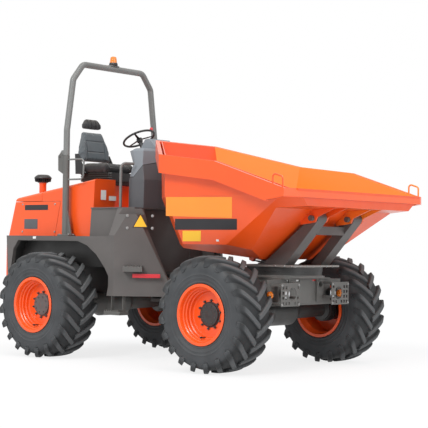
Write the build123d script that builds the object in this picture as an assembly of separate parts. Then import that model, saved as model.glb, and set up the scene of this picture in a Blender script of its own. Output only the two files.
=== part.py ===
# Swivel-skip site dumper, articulated, four equal wheels.
# Frame: +X forwards, +Y to the driver's left, +Z up, millimetres.
# The origin lies on the ground under the middle of the machine, on the axis of the steering pivot.
import os
from math import cos, radians, sin

from build123d import *

# ---------------------------------------------------------------- driving sizes
WHEELBASE = 2470.0
TRACK = 1967.0
TYRE_RADIUS = 585.0
TYRE_WIDTH = 500.0
RIM_SEAT_RADIUS = 286.0
RIM_FLANGE_RADIUS = 306.0
RIM_FLANGE_OFFSET = 222.0
LUGS_PER_SIDE = 20
LUG_HEIGHT = 42.0
HUB_SEAT = 12.0             # axle's hub flange, outwards from the middle of the tyre
HUB_FACE_Y = 102.0          # outer end of the wheel hub
HUB_RADIUS = 118.0
RIM_DISC_Y = 74.0           # outer face of the rim's disc
STUD_CIRCLE = 142.0
AXLE_PAD_Z = 700.0          # where the frame rests on the axle

FRONT_AXLE_X = WHEELBASE / 2
REAR_AXLE_X = -WHEELBASE / 2
HALF_LENGTH = 2335.0
REAR_END_X = -HALF_LENGTH
LIP_X = HALF_LENGTH

RUNNING_GAP = 0.05          # radial play of a pin or shaft in its bore
SIDE_GAP = 2.0              # play beside a hinge ear
SEAT_GAP = 0.3              # between soft pieces and what carries them
PANEL = 12.0                # thickness of a folded body panel, edge returns included

# rear body
BODY_HALF_WIDTH = 850.0     # fender and side-box plane
BODY_INNER_Y = 690.0        # inner wall of the wheel arch
FENDER_TOP_Z = 1352.0
FENDER_LEDGE = 54.0
SILL_Z = 706.0
FOLD_X = -340.0             # where the side box starts to taper towards the pivot
NOSE_X = 115.0              # front end of the tapered side box
NOSE_HALF_WIDTH = 475.0
DECK_Z = 1660.0
DECK_FRONT_X = -240.0
DECK_HALF_WIDTH = 722.0
# the deck's front corner is cut off, with a notch in the box under it, and the box leans back,
# to stay clear of the turned and tipped skip when the machine steers hard over
DECK_CORNER = ((-345.4, DECK_HALF_WIDTH), (DECK_FRONT_X, 640.0))
CORNER_NOTCH_Z = 1597.0
LEAN_FOOT_Z = 880.0
LEAN_TOP_X = -180.0
DECK_PLATE = 14.0
HOUSING_HALF_WIDTH = 660.0
HOUSING_FRONT_X = -850.0
HOUSING_TOP_FRONT_Z = 2000.0
HOUSING_TOP_REAR_Z = 1800.0
HOUSING_TAIL_X = -2170.0    # upper rear edge of the bonnet
HOUSING_FOOT_X = -2300.0    # lower rear edge of the bonnet
SEAM_Z = 1750.0             # joint between the lid and the side panels
SIDE_SEAM_X = -1402.0       # front joint of the side panels at SEAM_Z; it leans back to the foot
SIDE_SEAM_LEAN = 92.0
LID_FRONT_X = -1720.0
LID_LIMIT = 35.0
HOUSING_EDGE = 36.0         # radius of the rounded upper edges
SKIN = 8.0
PANEL_GAP = 6.0
LID_HINGE_X = -2207.0
LID_HINGE_Z = SEAM_Z + 12

ENGINE_HALF_WIDTH = 270.0
BUMPER_X = REAR_END_X + 26
BUMPER_DEPTH = 100.0
BUMPER_HALF_WIDTH = 700.0
RAIL_REAR_X = BUMPER_X + BUMPER_DEPTH + SEAT_GAP
TOW_PIN_RADIUS = 16.0

# steering pivot
PIVOT_PIN_RADIUS = 35.0
PIVOT_LOW_Z = 640.0
PIVOT_HIGH_Z = 860.0
EAR_THICKNESS = 34.0
EAR_RADIUS = 95.0
STEER_LIMIT = 32.0

# slewing turntable and skip
SLEW_X = 1340.0
CHASSIS_TOP_Z = 950.0
RING_BORE = 330.0
RING_OUTER = 400.0
RING_SPLIT_Z = 1012.0
TURNTABLE_Z = 1062.0
TURNTABLE_PLATE = 18.0
TURNTABLE_RADIUS = 425.0
SLEW_LIMIT = 90.0

TIP_X = 1995.0
TIP_Z = 1556.0
TIP_PIN_RADIUS = 28.0
ARM_Y = 310.0               # middle of each carrier arm
ARM_WIDTH = 150.0
ARM_END_RADIUS = 54.0
TIP_LIMIT = 52.0

SKIP_WALL = 10.0
SKIP_FLOOR_Z = 1135.0
RIM_HALF_WIDTH = 1213.0
RIM_BAND_DEPTH = 190.0
RIM_BAND_WIDTH = 42.0
LIP_HALF_WIDTH = 1056.0
LIP_TOP_X = 2300.0           # the folded lip leans forwards from here
LIP_FOOT_Z = 1738.0

# roll bar
ROPS_X = -1252.0
ROPS_TUBE_RADIUS = 36.0
ROPS_FOOT_Y = 724.0
ROPS_SHOULDER_Y = 640.0
ROPS_FOLD_Z = 2268.0
ROPS_KNEE_Z = 2560.0
ROPS_SHOULDER_Z = 3150.0
ROPS_TOP_Z = 3335.0

ROPS_PIN_X = ROPS_X - 78    # pin that the upper hoop folds about
ROPS_PIN_Z = ROPS_FOLD_Z - 10

# console: height of each level, and half its plan as (x, y) corners, rear first
CONSOLE_FOOT_Z = DECK_Z + DECK_PLATE + SEAT_GAP
CONSOLE_LEVELS = (
    (CONSOLE_FOOT_Z, ((-600, 300), (-560, 412), (-500, 450), (-292, 450), (-264, 240))),
    (1990, ((-600, 300), (-558, 410), (-498, 448), (-292, 446), (-264, 240))),
    (2170, ((-560, 280), (-515, 390), (-460, 420), (-342, 420), (-300, 235))),
    (2316, ((-640, 250), (-580, 378), (-500, 412), (-352, 400), (-322, 220))),
    (2346, ((-590, 240), (-530, 350), (-470, 378), (-374, 368), (-334, 210))),
)
GAUGE_HOOD = ((-620, 2340), (-602, 2374), (-548, 2462), (-492, 2470), (-346, 2340))
GAUGE_HOOD_HALF = 175.0

# hand wheel and its column
WHEEL_HUB = (-812.0, 0.0, 2495.0)
WHEEL_TILT = 28.0
HAND_WHEEL_RADIUS = 185.0
COLUMN_LENGTH = 540.0
COLUMN_RADIUS = 24.0

# seat
SEAT_X = -1320.0            # middle of the cushion
SEAT_CUSHION_Z = 2108.0 + SEAT_GAP
SEAT_HALF_WIDTH = 245.0
SEAT_HINGE_Y = 252.0

# upper step on each tapered side box
STEP_ALONG = 165.0          # from the fold
STEP_PLACE = (FOLD_X + STEP_ALONG,
              BODY_HALF_WIDTH - STEP_ALONG * (BODY_HALF_WIDTH - NOSE_HALF_WIDTH) / (NOSE_X - FOLD_X))
STEP_TOP_Z = 1030.0

# steering cylinders, left side
STEER_BASE_X = -240.0
STEER_BASE_Y = 245.0
STEER_EYE_X = 330.0
STEER_EYE_Y = 200.0
STEER_Z = 935.0
STEER_PIN_RADIUS = 14.0
STEER_BARREL_RADIUS = 32.0
STEER_ROD_RADIUS = 16.0
STEER_BARREL_LENGTH = 380.0

# front beam, towing eyes, lamps and their guards
TOW_EYE_Y = 240.0
TOW_EYE_Z = 880.0
TOW_EYE_RADIUS = 31.0
BEAM_X = 1612.0
BEAM_HALF_WIDTH = 630.0
GUARD_X = 1746.0
GUARD_INNER_Y = 276.0
GUARD_WIDTH = 308.0
LAMP_Y = 398.0
LAMP_Z = 790.0
INDICATOR_Y = 600.0
INDICATOR_Z = 780.0

# tip ram: pins, then one row per tube as start, end, radius, bore radius
TIP_BASE_X = 1565.0
TIP_BASE_Z = 1005.0
TIP_EYE_X = 935.0
TIP_EYE_Z = 1140.0
TIP_RAM_PIN = 18.0
TIP_LUG_Y = 34.0
RAM_BARREL = (0.0, 470.0, 50.0, 40.6)
RAM_STAGE = (60.0, 520.0, 40.0, 30.6)
RAM_ROD = (100.0, 620.0, 30.0, 0)

SIDES = (("right", -1), ("left", 1))


# ---------------------------------------------------------------- shape helpers
def block(x0, x1, y0, y1, z0, z1):
    """A box between two corners."""
    size = Box(abs(x1 - x0), abs(y1 - y0), abs(z1 - z0))
    return Pos((x0 + x1) / 2, (y0 + y1) / 2, (z0 + z1) / 2) * size


def prism_y(outline, y0, y1):
    """An outline of (x, z) corners, carried along Y from y0 to y1."""
    face = Plane.XZ.offset(-min(y0, y1)) * make_face(Polyline(*outline, close=True))
    return extrude(face, amount=-abs(y1 - y0))


def prism_z(outline, z0, z1):
    """An outline of (x, y) corners, carried up from z0 to z1."""
    face = Plane.XY.offset(min(z0, z1)) * make_face(Polyline(*outline, close=True))
    return extrude(face, amount=abs(z1 - z0))


def prism_x(outline, x0, x1):
    """An outline of (y, z) corners, carried along X from x0 to x1."""
    face = Plane.YZ.offset(min(x0, x1)) * make_face(Polyline(*outline, close=True))
    return extrude(face, amount=abs(x1 - x0))


def rod_between(start, end, radius):
    """A round bar from one point to another."""
    a, b = Vector(*start), Vector(*end)
    return Plane(origin=a, z_dir=b - a) * Cylinder(
        radius, (b - a).length, align=(Align.CENTER, Align.CENTER, Align.MIN))


def pin_y(x, z, y0, y1, radius):
    """A round pin or bore that lies across the machine."""
    return rod_between((x, min(y0, y1), z), (x, max(y0, y1), z), radius)


def pin_z(x, y, z0, z1, radius):
    """An upright round pin or bore."""
    return rod_between((x, y, min(z0, z1)), (x, y, max(z0, z1)), radius)


def bent_tube(points, bend, radius):
    """A round tube that follows points, with one bend radius at every corner."""
    path = FilletPolyline(*points, radius=bend)
    section = Plane(origin=path @ 0, z_dir=path % 0) * Circle(radius)
    return sweep(section, path=path)


def spun(outline, axis=Axis.Y):
    """An outline of (axial, radius) corners, turned about the Y axis."""
    profile = make_face(Polyline(*[(r, a) for a, r in outline], close=True))
    return revolve(profile, axis=axis)


def common(shape, other):
    """What two shapes share, as one part."""
    return Part() + (shape & other)


def both(shape):
    """A piece and its mirror image across the middle plane."""
    return shape + mirror(shape, about=Plane.XZ)


def joined(shapes):
    """All pieces of a list, fused."""
    first, *rest = shapes
    return first.fuse(*rest) if rest else first


# ---------------------------------------------------------------- wheels
def tyre_carcass():
    """Smooth casing of the tyre, with its axis on Y and its middle at the origin."""
    half, tread = TYRE_WIDTH / 2, TYRE_RADIUS - LUG_HEIGHT
    bulge = half - 12
    outline = (
        (0, tread), (0.56 * half, tread - 5), (0.82 * half, tread - 26), (bulge - 6, tread - 62),
        (bulge, tread - 110), (bulge - 6, tread - 165), (bulge - 20, RIM_FLANGE_RADIUS + 12),
        (RIM_FLANGE_OFFSET - 14, RIM_SEAT_RADIUS), (0, RIM_SEAT_RADIUS))
    half_ring = spun(outline)
    return half_ring + mirror(half_ring, about=Plane.XZ)


# each row is one station along a lug: share of the half width, turn in degrees,
# depth of its crown below the tread circle, depth of its root, width
LUG_STATIONS = (
    (-0.03, 0.0, 0, 54, 46),
    (0.42, 7.5, 0, 60, 44),
    (0.80, 17.0, 8, 84, 52),
    (1.00, 20.5, 50, 128, 58),
)


def tyre_lug(side):
    """One curved tread bar, from the middle of the tread round the shoulder."""
    sections = []
    for share, turn, crown, root, width in LUG_STATIONS:
        outer, inner = TYRE_RADIUS - crown, TYRE_RADIUS - root
        corners = []
        for radius, edge in ((outer, 1), (outer, -1), (inner, -1), (inner, 1)):
            angle = edge * width / 2 / radius - radians(turn)
            corners.append((radius * sin(angle), side * share * TYRE_WIDTH / 2, radius * cos(angle)))
        sections.append(Polyline(*corners, close=True))
    return loft([make_face(s) for s in sections], ruled=True)


def tyre(turn=1):
    """The casing with all its lugs; turn gives the way the arrow pattern points."""
    pitch = 360 / LUGS_PER_SIDE
    lugs = []
    for side in (-1, 1):
        lug = tyre_lug(side)
        for i in range(LUGS_PER_SIDE):
            lugs.append(Rot(0, turn * (i + (0.5 if side > 0 else 0)) * pitch, 0) * lug)
    return tyre_carcass().fuse(*lugs)


def wheel_rim():
    """Deep-dished rim with its disc, round hub and studs; the dish opens towards +Y."""
    seat, flange = RIM_SEAT_RADIUS - SEAT_GAP, RIM_FLANGE_RADIUS
    edge, disc = RIM_FLANGE_OFFSET, RIM_DISC_Y
    outline = (
        (edge, flange), (edge + 10, flange), (edge + 10, seat - 10), (168, seat - 26), (150, 246),
        (disc + 10, 238), (disc, 216), (disc, 0), (disc - 18, 0), (disc - 18, 216),
        (disc - 40, 250), (-150, 250), (-180, seat - 14), (-edge - 10, seat - 10), (-edge - 10, flange),
        (-edge, flange), (-edge + 4, seat), (-170, seat), (-140, 262), (138, 262), (160, seat),
        (edge - 4, seat))
    hub = spun(((HUB_SEAT, 0), (HUB_SEAT, 112), (disc - 10, 112), (disc - 10, HUB_RADIUS),
                (HUB_FACE_Y - 6, HUB_RADIUS), (HUB_FACE_Y, HUB_RADIUS - 6), (HUB_FACE_Y, 0)))
    studs = [Rot(0, i * 36, 0) * pin_y(0, STUD_CIRCLE, disc - 5, disc + 24, 12) for i in range(10)]
    return spun(outline).fuse(hub, *studs)


# ---------------------------------------------------------------- axles
def axle(x):
    """Beam axle: drop box in the middle, tapered arms and hub flanges."""
    hub_face = TRACK / 2 + HUB_SEAT - SEAT_GAP
    beam = spun(((-hub_face, 0), (-hub_face, 118), (-hub_face + 200, 118), (-hub_face + 220, 78),
                 (-300, 88), (-190, 150), (190, 150), (300, 88), (hub_face - 220, 78),
                 (hub_face - 200, 118), (hub_face, 118), (hub_face, 0)))
    ribs = [spun(((y, 60), (y, 132), (y + 9, 132), (y + 9, 60)))
            for y in (-hub_face + 80 + 30 * i for i in range(4))]
    pads = block(-90, 90, 300, 400, 60, AXLE_PAD_Z - SEAT_GAP - TYRE_RADIUS)
    ribs += [mirror(r, about=Plane.XZ) for r in ribs]
    return Pos(x, 0, TYRE_RADIUS) * (beam.fuse(*ribs) + both(pads))


# ---------------------------------------------------------------- rear frame
def rear_chassis():
    """Two deep rails, cross plates, axle saddles and the fork of the steering pivot."""
    rail_top, rail_low, fork_top = 1000.0, 705.0, PIVOT_HIGH_Z + EAR_THICKNESS
    rail = prism_y(((RAIL_REAR_X, rail_low + 60), (RAIL_REAR_X, rail_top), (-305, rail_top), (-305, fork_top),
                    (-60, fork_top), (-60, rail_low), (-1900, rail_low)), 300, 330)
    saddle = block(REAR_AXLE_X - 85, REAR_AXLE_X + 85, 305, 395, AXLE_PAD_Z, rail_low + 25)
    cross = [block(x, x + 20, -301, 301, rail_low + 40, rail_top - 20)
             for x in (RAIL_REAR_X, -2040, -1280, -760)]
    engine_feet = [both(block(x, x + 60, ENGINE_HALF_WIDTH + SEAT_GAP, 301, 780, 860)) for x in (-1920, -1440)]
    bulkhead = block(-320, -304, -336, 336, rail_low + 16, DECK_Z - SEAT_GAP)
    floor = block(-700, -130, -330, 330, rail_low, rail_low + 16)
    fork = []
    for z in (PIVOT_LOW_Z, PIVOT_HIGH_Z):
        plate = prism_z(((-300, -300), (-300, 300), (-60, 300), (0, EAR_RADIUS), (0, -EAR_RADIUS),
                         (-60, -300)), z, z + EAR_THICKNESS)
        plate = plate + pin_z(0, 0, z, z + EAR_THICKNESS, EAR_RADIUS)
        fork.append(plate)
    web = block(-300, -280, -300, 300, PIVOT_LOW_Z, rail_low + 20)
    pin = pin_z(0, 0, PIVOT_LOW_Z - 12, PIVOT_HIGH_Z + EAR_THICKNESS + 12, PIVOT_PIN_RADIUS)
    steer_lugs = pin_z(STEER_BASE_X, STEER_BASE_Y, STEER_Z - 45, STEER_Z - 19, 21)
    steer_pin = pin_z(STEER_BASE_X, STEER_BASE_Y, STEER_Z - 45, STEER_Z + 26, STEER_PIN_RADIUS)
    return joined([both(rail), both(saddle), *cross, *engine_feet, bulkhead, floor, *fork, web, pin,
                   both(steer_lugs), both(steer_pin)])


def side_outline():
    """Fender and side box in (x, z): ledge, wheel arch, sill."""
    arch_low = SILL_Z + 184
    return (
        (REAR_END_X + 217, FENDER_TOP_Z), (REAR_END_X + 252, 840), (REAR_END_X + 286, 840),
        (REAR_END_X + 298, 960), (REAR_END_X + 340, 1200), (REAR_END_X + 420, FENDER_TOP_Z - FENDER_LEDGE),
        (REAR_AXLE_X + 320, FENDER_TOP_Z - FENDER_LEDGE), (REAR_AXLE_X + 470, 1252),
        (REAR_AXLE_X + 625, 1150), (REAR_AXLE_X + 755, 1010), (REAR_AXLE_X + 835, arch_low),
        (REAR_AXLE_X + 790, SILL_Z), (FOLD_X, SILL_Z), (FOLD_X, FENDER_TOP_Z))


def side_body():
    """Fender with its wheel arch, and the tapered box beside the driver's step."""
    skin = prism_y(side_outline(), BODY_INNER_Y, BODY_HALF_WIDTH)
    inner = prism_y(((REAR_END_X + 217, FENDER_TOP_Z), (REAR_END_X + 252, 1010), (-420, 1010),
                     (-420, FENDER_TOP_Z)), 336, BODY_INNER_Y)
    low = prism_y(((REAR_AXLE_X + 790, SILL_Z), (REAR_AXLE_X + 790, 1010), (-420, 1010), (-420, SILL_Z)),
                  336, BODY_INNER_Y)
    taper = ((-420, 336), (-420, BODY_HALF_WIDTH), (FOLD_X, BODY_HALF_WIDTH), (NOSE_X, NOSE_HALF_WIDTH),
             (NOSE_X, NOSE_HALF_WIDTH - 62), (NOSE_X - PANEL, NOSE_HALF_WIDTH - 62),
             (NOSE_X - PANEL, NOSE_HALF_WIDTH - 10), (-120, 600), (-120, 560), (-300, 560), (-300, 336))
    box = prism_z(taper, SILL_Z, DECK_Z)
    lean = prism_y(((NOSE_X + 1, LEAN_FOOT_Z), (LEAN_TOP_X, DECK_Z + 1), (NOSE_X + 200, DECK_Z + 1),
                    (NOSE_X + 200, LEAN_FOOT_Z)), 300, 900)
    (rear_x, rear_y), (front_x, front_y) = DECK_CORNER
    run = Vector(front_x - rear_x, front_y - rear_y, 0).normalized()
    start, end = Vector(rear_x, rear_y, 0) - run * 50, Vector(front_x, front_y, 0) + run * 180
    notch = prism_z(((start.X, start.Y), (end.X, end.Y), (end.X + 100, end.Y), (end.X + 100, 900),
                     (start.X, 900)), CORNER_NOTCH_Z, DECK_Z + 1)
    box = box - lean - notch
    well = prism_x(((BODY_HALF_WIDTH + 5, FENDER_TOP_Z), (BODY_HALF_WIDTH - 130, DECK_Z + 5),
                    (BODY_HALF_WIDTH + 5, DECK_Z + 5)), FOLD_X - 95, FOLD_X + 130)
    corner = prism_y(((FOLD_X - 95, FENDER_TOP_Z), (FOLD_X, FENDER_TOP_Z), (FOLD_X + 130, DECK_Z),
                      (FOLD_X - 95, DECK_Z)), 700, BODY_HALF_WIDTH)
    slope = prism_x(((BODY_INNER_Y + 1, FENDER_TOP_Z - 1), (BODY_HALF_WIDTH - 118, FENDER_TOP_Z - 1),
                     (BODY_HALF_WIDTH - 140, DECK_Z), (BODY_INNER_Y + 1, DECK_Z)),
                    HOUSING_FRONT_X + 6, FOLD_X - 10)
    wing = block(HOUSING_FRONT_X + 6, -419, 336, BODY_INNER_Y + 1, FENDER_TOP_Z, DECK_Z)
    box = box - common(corner, well)
    return joined([skin, inner, low, box, slope, wing])


def deck():
    """Driver's floor plate between the side boxes."""
    half = ((HOUSING_FRONT_X + 6, DECK_HALF_WIDTH), *DECK_CORNER)
    plan = (*half, *[(x, -y) for x, y in reversed(half)])
    return prism_z(plan, DECK_Z, DECK_Z + DECK_PLATE)


def housing_top(x):
    """Height of the sloping bonnet top above one place."""
    slope = (HOUSING_TOP_FRONT_Z - HOUSING_TOP_REAR_Z) / (HOUSING_FRONT_X - HOUSING_TAIL_X)
    return HOUSING_TOP_FRONT_Z + slope * (x - HOUSING_FRONT_X)


def tail_x(z):
    """Rear face of the bonnet at one height."""
    share = (z - FENDER_TOP_Z) / (HOUSING_TOP_REAR_Z - FENDER_TOP_Z)
    return HOUSING_FOOT_X + share * (HOUSING_TAIL_X - HOUSING_FOOT_X)


def side_seam_x(z):
    """Front joint of the side panels at one height."""
    return SIDE_SEAM_X - SIDE_SEAM_LEAN * (SEAM_Z - z) / (SEAM_Z - FENDER_TOP_Z)


def rounded_sides(body, radius, x_low, x_high):
    """Round the two long upper edges, and the rear one where the body has it."""
    edges = [e for e in body.edges() if e.center().Z > SEAM_Z + 30 and x_low < e.center().X < x_high]
    return fillet(edges, radius)


def lid_body(inset):
    """The lid's closed form, set in by its skin."""
    low, half = SEAM_Z + PANEL_GAP - inset * 2, HOUSING_HALF_WIDTH - inset
    front = LID_FRONT_X - PANEL_GAP + 3 * inset
    rear_low, rear_high = tail_x(SEAM_Z) + inset, HOUSING_TAIL_X + inset
    body = prism_y(((rear_low, low), (rear_high, housing_top(rear_high) - inset),
                    (front, housing_top(front) - inset), (front, low)), -half, half)
    return rounded_sides(body, HOUSING_EDGE - inset, rear_low - 5, front - 5)


def hood():
    """Engine lid: top, rounded edges and tail, open below and in front, with hinge knuckles."""
    lid = lid_body(0) - lid_body(SKIN)
    knuckles = []
    for y in (-430, -390, 370, 410):
        knuckle = pin_y(LID_HINGE_X, LID_HINGE_Z, y, y + 20, 15) + block(
            LID_HINGE_X, tail_x(SEAM_Z) + 16, y, y + 20, LID_HINGE_Z - 2, LID_HINGE_Z + 13)
        knuckles.append(knuckle - pin_y(LID_HINGE_X, LID_HINGE_Z, y - 1, y + 21, 8 + RUNNING_GAP))
    return joined([lid, *knuckles])


def engine_panels():
    """Side panels and tail panel round the engine, with the lid's hinge ears."""
    def surround(inset):
        low, high = FENDER_TOP_Z + SEAT_GAP - 2 * inset, SEAM_Z + 2 * inset
        half = HOUSING_HALF_WIDTH - inset
        front = -PANEL_GAP + 5 * inset
        return prism_y(((tail_x(low) + inset, low), (tail_x(high) + inset, high),
                        (side_seam_x(high) + front, high), (side_seam_x(low) + front, low)), -half, half)

    ears = []
    for y in (-408, 392):
        ear = pin_y(LID_HINGE_X, LID_HINGE_Z, y, y + 16, 15) + prism_y(
            ((LID_HINGE_X - 14, LID_HINGE_Z), (LID_HINGE_X - 6, SEAM_Z - 40),
             (tail_x(SEAM_Z - 40) + 4, SEAM_Z - 40), (tail_x(SEAM_Z - 8) + 4, SEAM_Z - 8),
             (LID_HINGE_X + 14, LID_HINGE_Z)), y, y + 16)
        ears.append(ear + pin_y(LID_HINGE_X, LID_HINGE_Z, y - 24, y + 40, 8))
    tail_hole = prism_x(((-470, 1400), (-470, 1690), (470, 1690), (470, 1400)), HOUSING_FOOT_X - 20,
                        HOUSING_TAIL_X + 60)
    bars = [prism_y(((tail_x(z) + 2, z), (tail_x(z + 12) + 2, z + 12), (tail_x(z + 12) + 30, z + 6),
                     (tail_x(z) + 30, z - 6)), -472, 472) for z in range(1420, 1690, 36)]
    panels = (surround(0) - surround(SKIN)) - tail_hole
    return joined([panels, *bars, *ears])


def engine_housing():
    """Fixed orange housing in front of the lid: arm boxes and the seat's pedestal."""
    foot, step = FENDER_TOP_Z + SEAT_GAP, SEAM_Z + PANEL_GAP / 2
    outline = ((side_seam_x(foot), foot), (side_seam_x(SEAM_Z), step), (LID_FRONT_X, step),
               (LID_FRONT_X, housing_top(LID_FRONT_X)), (HOUSING_FRONT_X, housing_top(HOUSING_FRONT_X)),
               (HOUSING_FRONT_X - 30, foot))
    outer = prism_y(outline, -HOUSING_HALF_WIDTH, HOUSING_HALF_WIDTH)
    edges = [e for e in outer.edges() if e.center().Z > SEAM_Z + 30
             and abs(e.center().Y) > HOUSING_HALF_WIDTH - 5
             and LID_FRONT_X + 5 < e.center().X < HOUSING_FRONT_X - 5]
    outer = fillet(edges, HOUSING_EDGE)
    well = block(HOUSING_FRONT_X - 300, HOUSING_FRONT_X + 60, -330, 330, DECK_Z, HOUSING_TOP_FRONT_Z + 60)
    return outer - well


def rear_grille():
    """Slatted cooling grille in the tail, under the bonnet's rear edge."""
    x0, x1 = BUMPER_X + 56, BUMPER_X + 94
    frame = block(x0, x1, -532 + SEAT_GAP, 532 - SEAT_GAP, 846 + SEAT_GAP, 1330)
    frame = frame - block(x0 - 5, x1 + 5, -480, 480, 890, 1290)
    slats = [block(x0 + 8, x1 - 8, -482, 482, z, z + 14) for z in range(910, 1280, 38)]
    return frame.fuse(*slats)


def rear_bumper():
    """Heavy tail plate that carries the towing jaw and guards the grille."""
    back = BUMPER_X + BUMPER_DEPTH
    half, corner = BUMPER_HALF_WIDTH, BUMPER_HALF_WIDTH - 20
    plate = prism_z(((BUMPER_X, -corner), (BUMPER_X, corner), (BUMPER_X + 20, half), (back, half),
                     (back, -half), (BUMPER_X + 20, -half)), SILL_Z, 846)
    posts = both(prism_z(((BUMPER_X, 532), (BUMPER_X, corner), (BUMPER_X + 20, half), (back, half),
                          (back, 532)), 845, 1330))
    jaw = block(BUMPER_X - 1, BUMPER_X + 70, -70, 70, 748, 804)
    pin = pin_z(BUMPER_X + 32, 0, SILL_Z - 6, 862, TOW_PIN_RADIUS)
    return (plate + posts - jaw) + pin


def tail_lamps():
    """Two rear lamp blocks on the tail posts."""
    lamp = block(REAR_END_X, BUMPER_X - SEAT_GAP, 540, 596, 1150, 1290)
    return both(fillet(lamp.edges().filter_by(Axis.X), 14))


# ---------------------------------------------------------------- driver's place
def console_level(z, half_plan):
    """One level of the console: half a plan of (x, y) corners, mirrored to the other side."""
    outline = [*half_plan, *[(x, -y) for x, y in reversed(half_plan)]]
    return Plane.XY.offset(z) * make_face(Polyline(*outline, close=True))


def console():
    """Moulded dash: cover on the floor, wider pod above it, raised hood for the gauges."""
    levels = [console_level(z, plan) for z, plan in CONSOLE_LEVELS]
    pods = [loft([low, high], ruled=True) for low, high in zip(levels, levels[1:])]
    gauge_hood = prism_y(GAUGE_HOOD, -GAUGE_HOOD_HALF, GAUGE_HOOD_HALF)
    socket = Pos(*WHEEL_HUB) * Rot(0, -WHEEL_TILT, 0) * column(COLUMN_RADIUS + SEAT_GAP)
    return joined([*pods, gauge_hood]) - socket


def column(radius):
    """The steering column under the hand wheel, along the wheel's own axis."""
    return rod_between((0, 0, -20), (0, 0, -COLUMN_LENGTH), radius)


def steering_wheel():
    """Three-spoke hand wheel and its column."""
    ring = Torus(HAND_WHEEL_RADIUS, 13)
    spokes = [Rot(0, 0, a) * rod_between((0, 0, -6), (HAND_WHEEL_RADIUS, 0, 0), 9) for a in (60, 180, 300)]
    hub = Pos(0, 0, -22) * Cylinder(34, 50)
    wheel = ring.fuse(hub, column(COLUMN_RADIUS), *spokes)
    return Pos(*WHEEL_HUB) * Rot(0, -WHEEL_TILT, 0) * wheel


def seat_base():
    """Suspension base with side bracket plates, standing on the housing."""
    rear, front = SEAT_X - 220, SEAT_X + 200
    base = prism_y(((rear, housing_top(rear) + SEAT_GAP), (front, housing_top(front) + SEAT_GAP),
                    (front + 10, 2100), (rear + 10, 2100)), -190, 190)
    hinge = both(prism_y(((SEAT_X - 270, 2090), (SEAT_X - 120, 2100), (SEAT_X - 150, 2190),
                          (SEAT_X - 235, 2330), (SEAT_X - 285, 2330)), SEAT_HINGE_Y, SEAT_HINGE_Y + 12))
    tie = block(SEAT_X - 235, SEAT_X - 130, -264, 264, 2090, 2108)
    return joined([base, hinge, tie])


def seat_cushion():
    """Seat cushion, crowned box with rounded edges."""
    pad = block(SEAT_X - 215, SEAT_X + 230, -SEAT_HALF_WIDTH, SEAT_HALF_WIDTH, SEAT_CUSHION_Z, 2215)
    return fillet(pad.edges(), 35)


def leaning(shape):
    """Lean a seat piece back about the rear of the cushion."""
    return Pos(SEAT_X - 225, 0, 2225) * Rot(0, -8, 0) * shape


def seat_back():
    """Backrest, wider at the hips than at the shoulders."""
    pad = loft([
        Plane.XY.offset(0) * Rectangle(105, 2 * (SEAT_HINGE_Y - SEAT_GAP)),
        Plane.XY.offset(110) * Rectangle(105, 2 * (SEAT_HINGE_Y - SEAT_GAP)),
        Plane.XY.offset(200) * Rectangle(105, 2 * SEAT_HALF_WIDTH - 30),
        Plane.XY.offset(400) * Rectangle(80, 2 * SEAT_HALF_WIDTH - 150)], ruled=True)
    return leaning(pad)


def seat_headrest():
    """Headrest pad above the backrest."""
    pad = loft([Plane.XY.offset(412) * Rectangle(95, 300), Plane.XY.offset(470) * Rectangle(100, 290),
                Plane.XY.offset(545) * Rectangle(70, 210)], ruled=True)
    posts = both(rod_between((0, 60, 400 + SEAT_GAP), (0, 60, 425), 8))
    return leaning(pad + posts)


# ---------------------------------------------------------------- roll bar
def rops_posts():
    """Fixed lower posts with feet, gussets and the folding hinge's fork."""
    post = rod_between((ROPS_X, ROPS_FOOT_Y, FENDER_TOP_Z + 16), (ROPS_X, ROPS_FOOT_Y, ROPS_FOLD_Z), 38)
    foot = block(ROPS_X - 75, ROPS_X + 110, ROPS_FOOT_Y - 55, ROPS_FOOT_Y + 55,
                 FENDER_TOP_Z, FENDER_TOP_Z + 18)
    gusset = prism_y(((ROPS_X + 30, FENDER_TOP_Z + 10), (ROPS_X + 30, FENDER_TOP_Z + 320),
                      (ROPS_X + 105, FENDER_TOP_Z + 10)), ROPS_FOOT_Y - 8, ROPS_FOOT_Y + 8)
    ears = [prism_y(((ROPS_X - 25, 2060), (ROPS_X - 100, 2100), (ROPS_X - 105, ROPS_FOLD_Z),
                     (ROPS_X - 60, ROPS_FOLD_Z + 30), (ROPS_X - 25, ROPS_FOLD_Z - 8)), y, y + 10)
            for y in (ROPS_FOOT_Y - 32, ROPS_FOOT_Y + 22)]
    pin = pin_y(ROPS_PIN_X, ROPS_PIN_Z, ROPS_FOOT_Y - 42, ROPS_FOOT_Y + 42, 11)
    return both(joined([post, foot, gusset, *ears, pin]))


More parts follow.
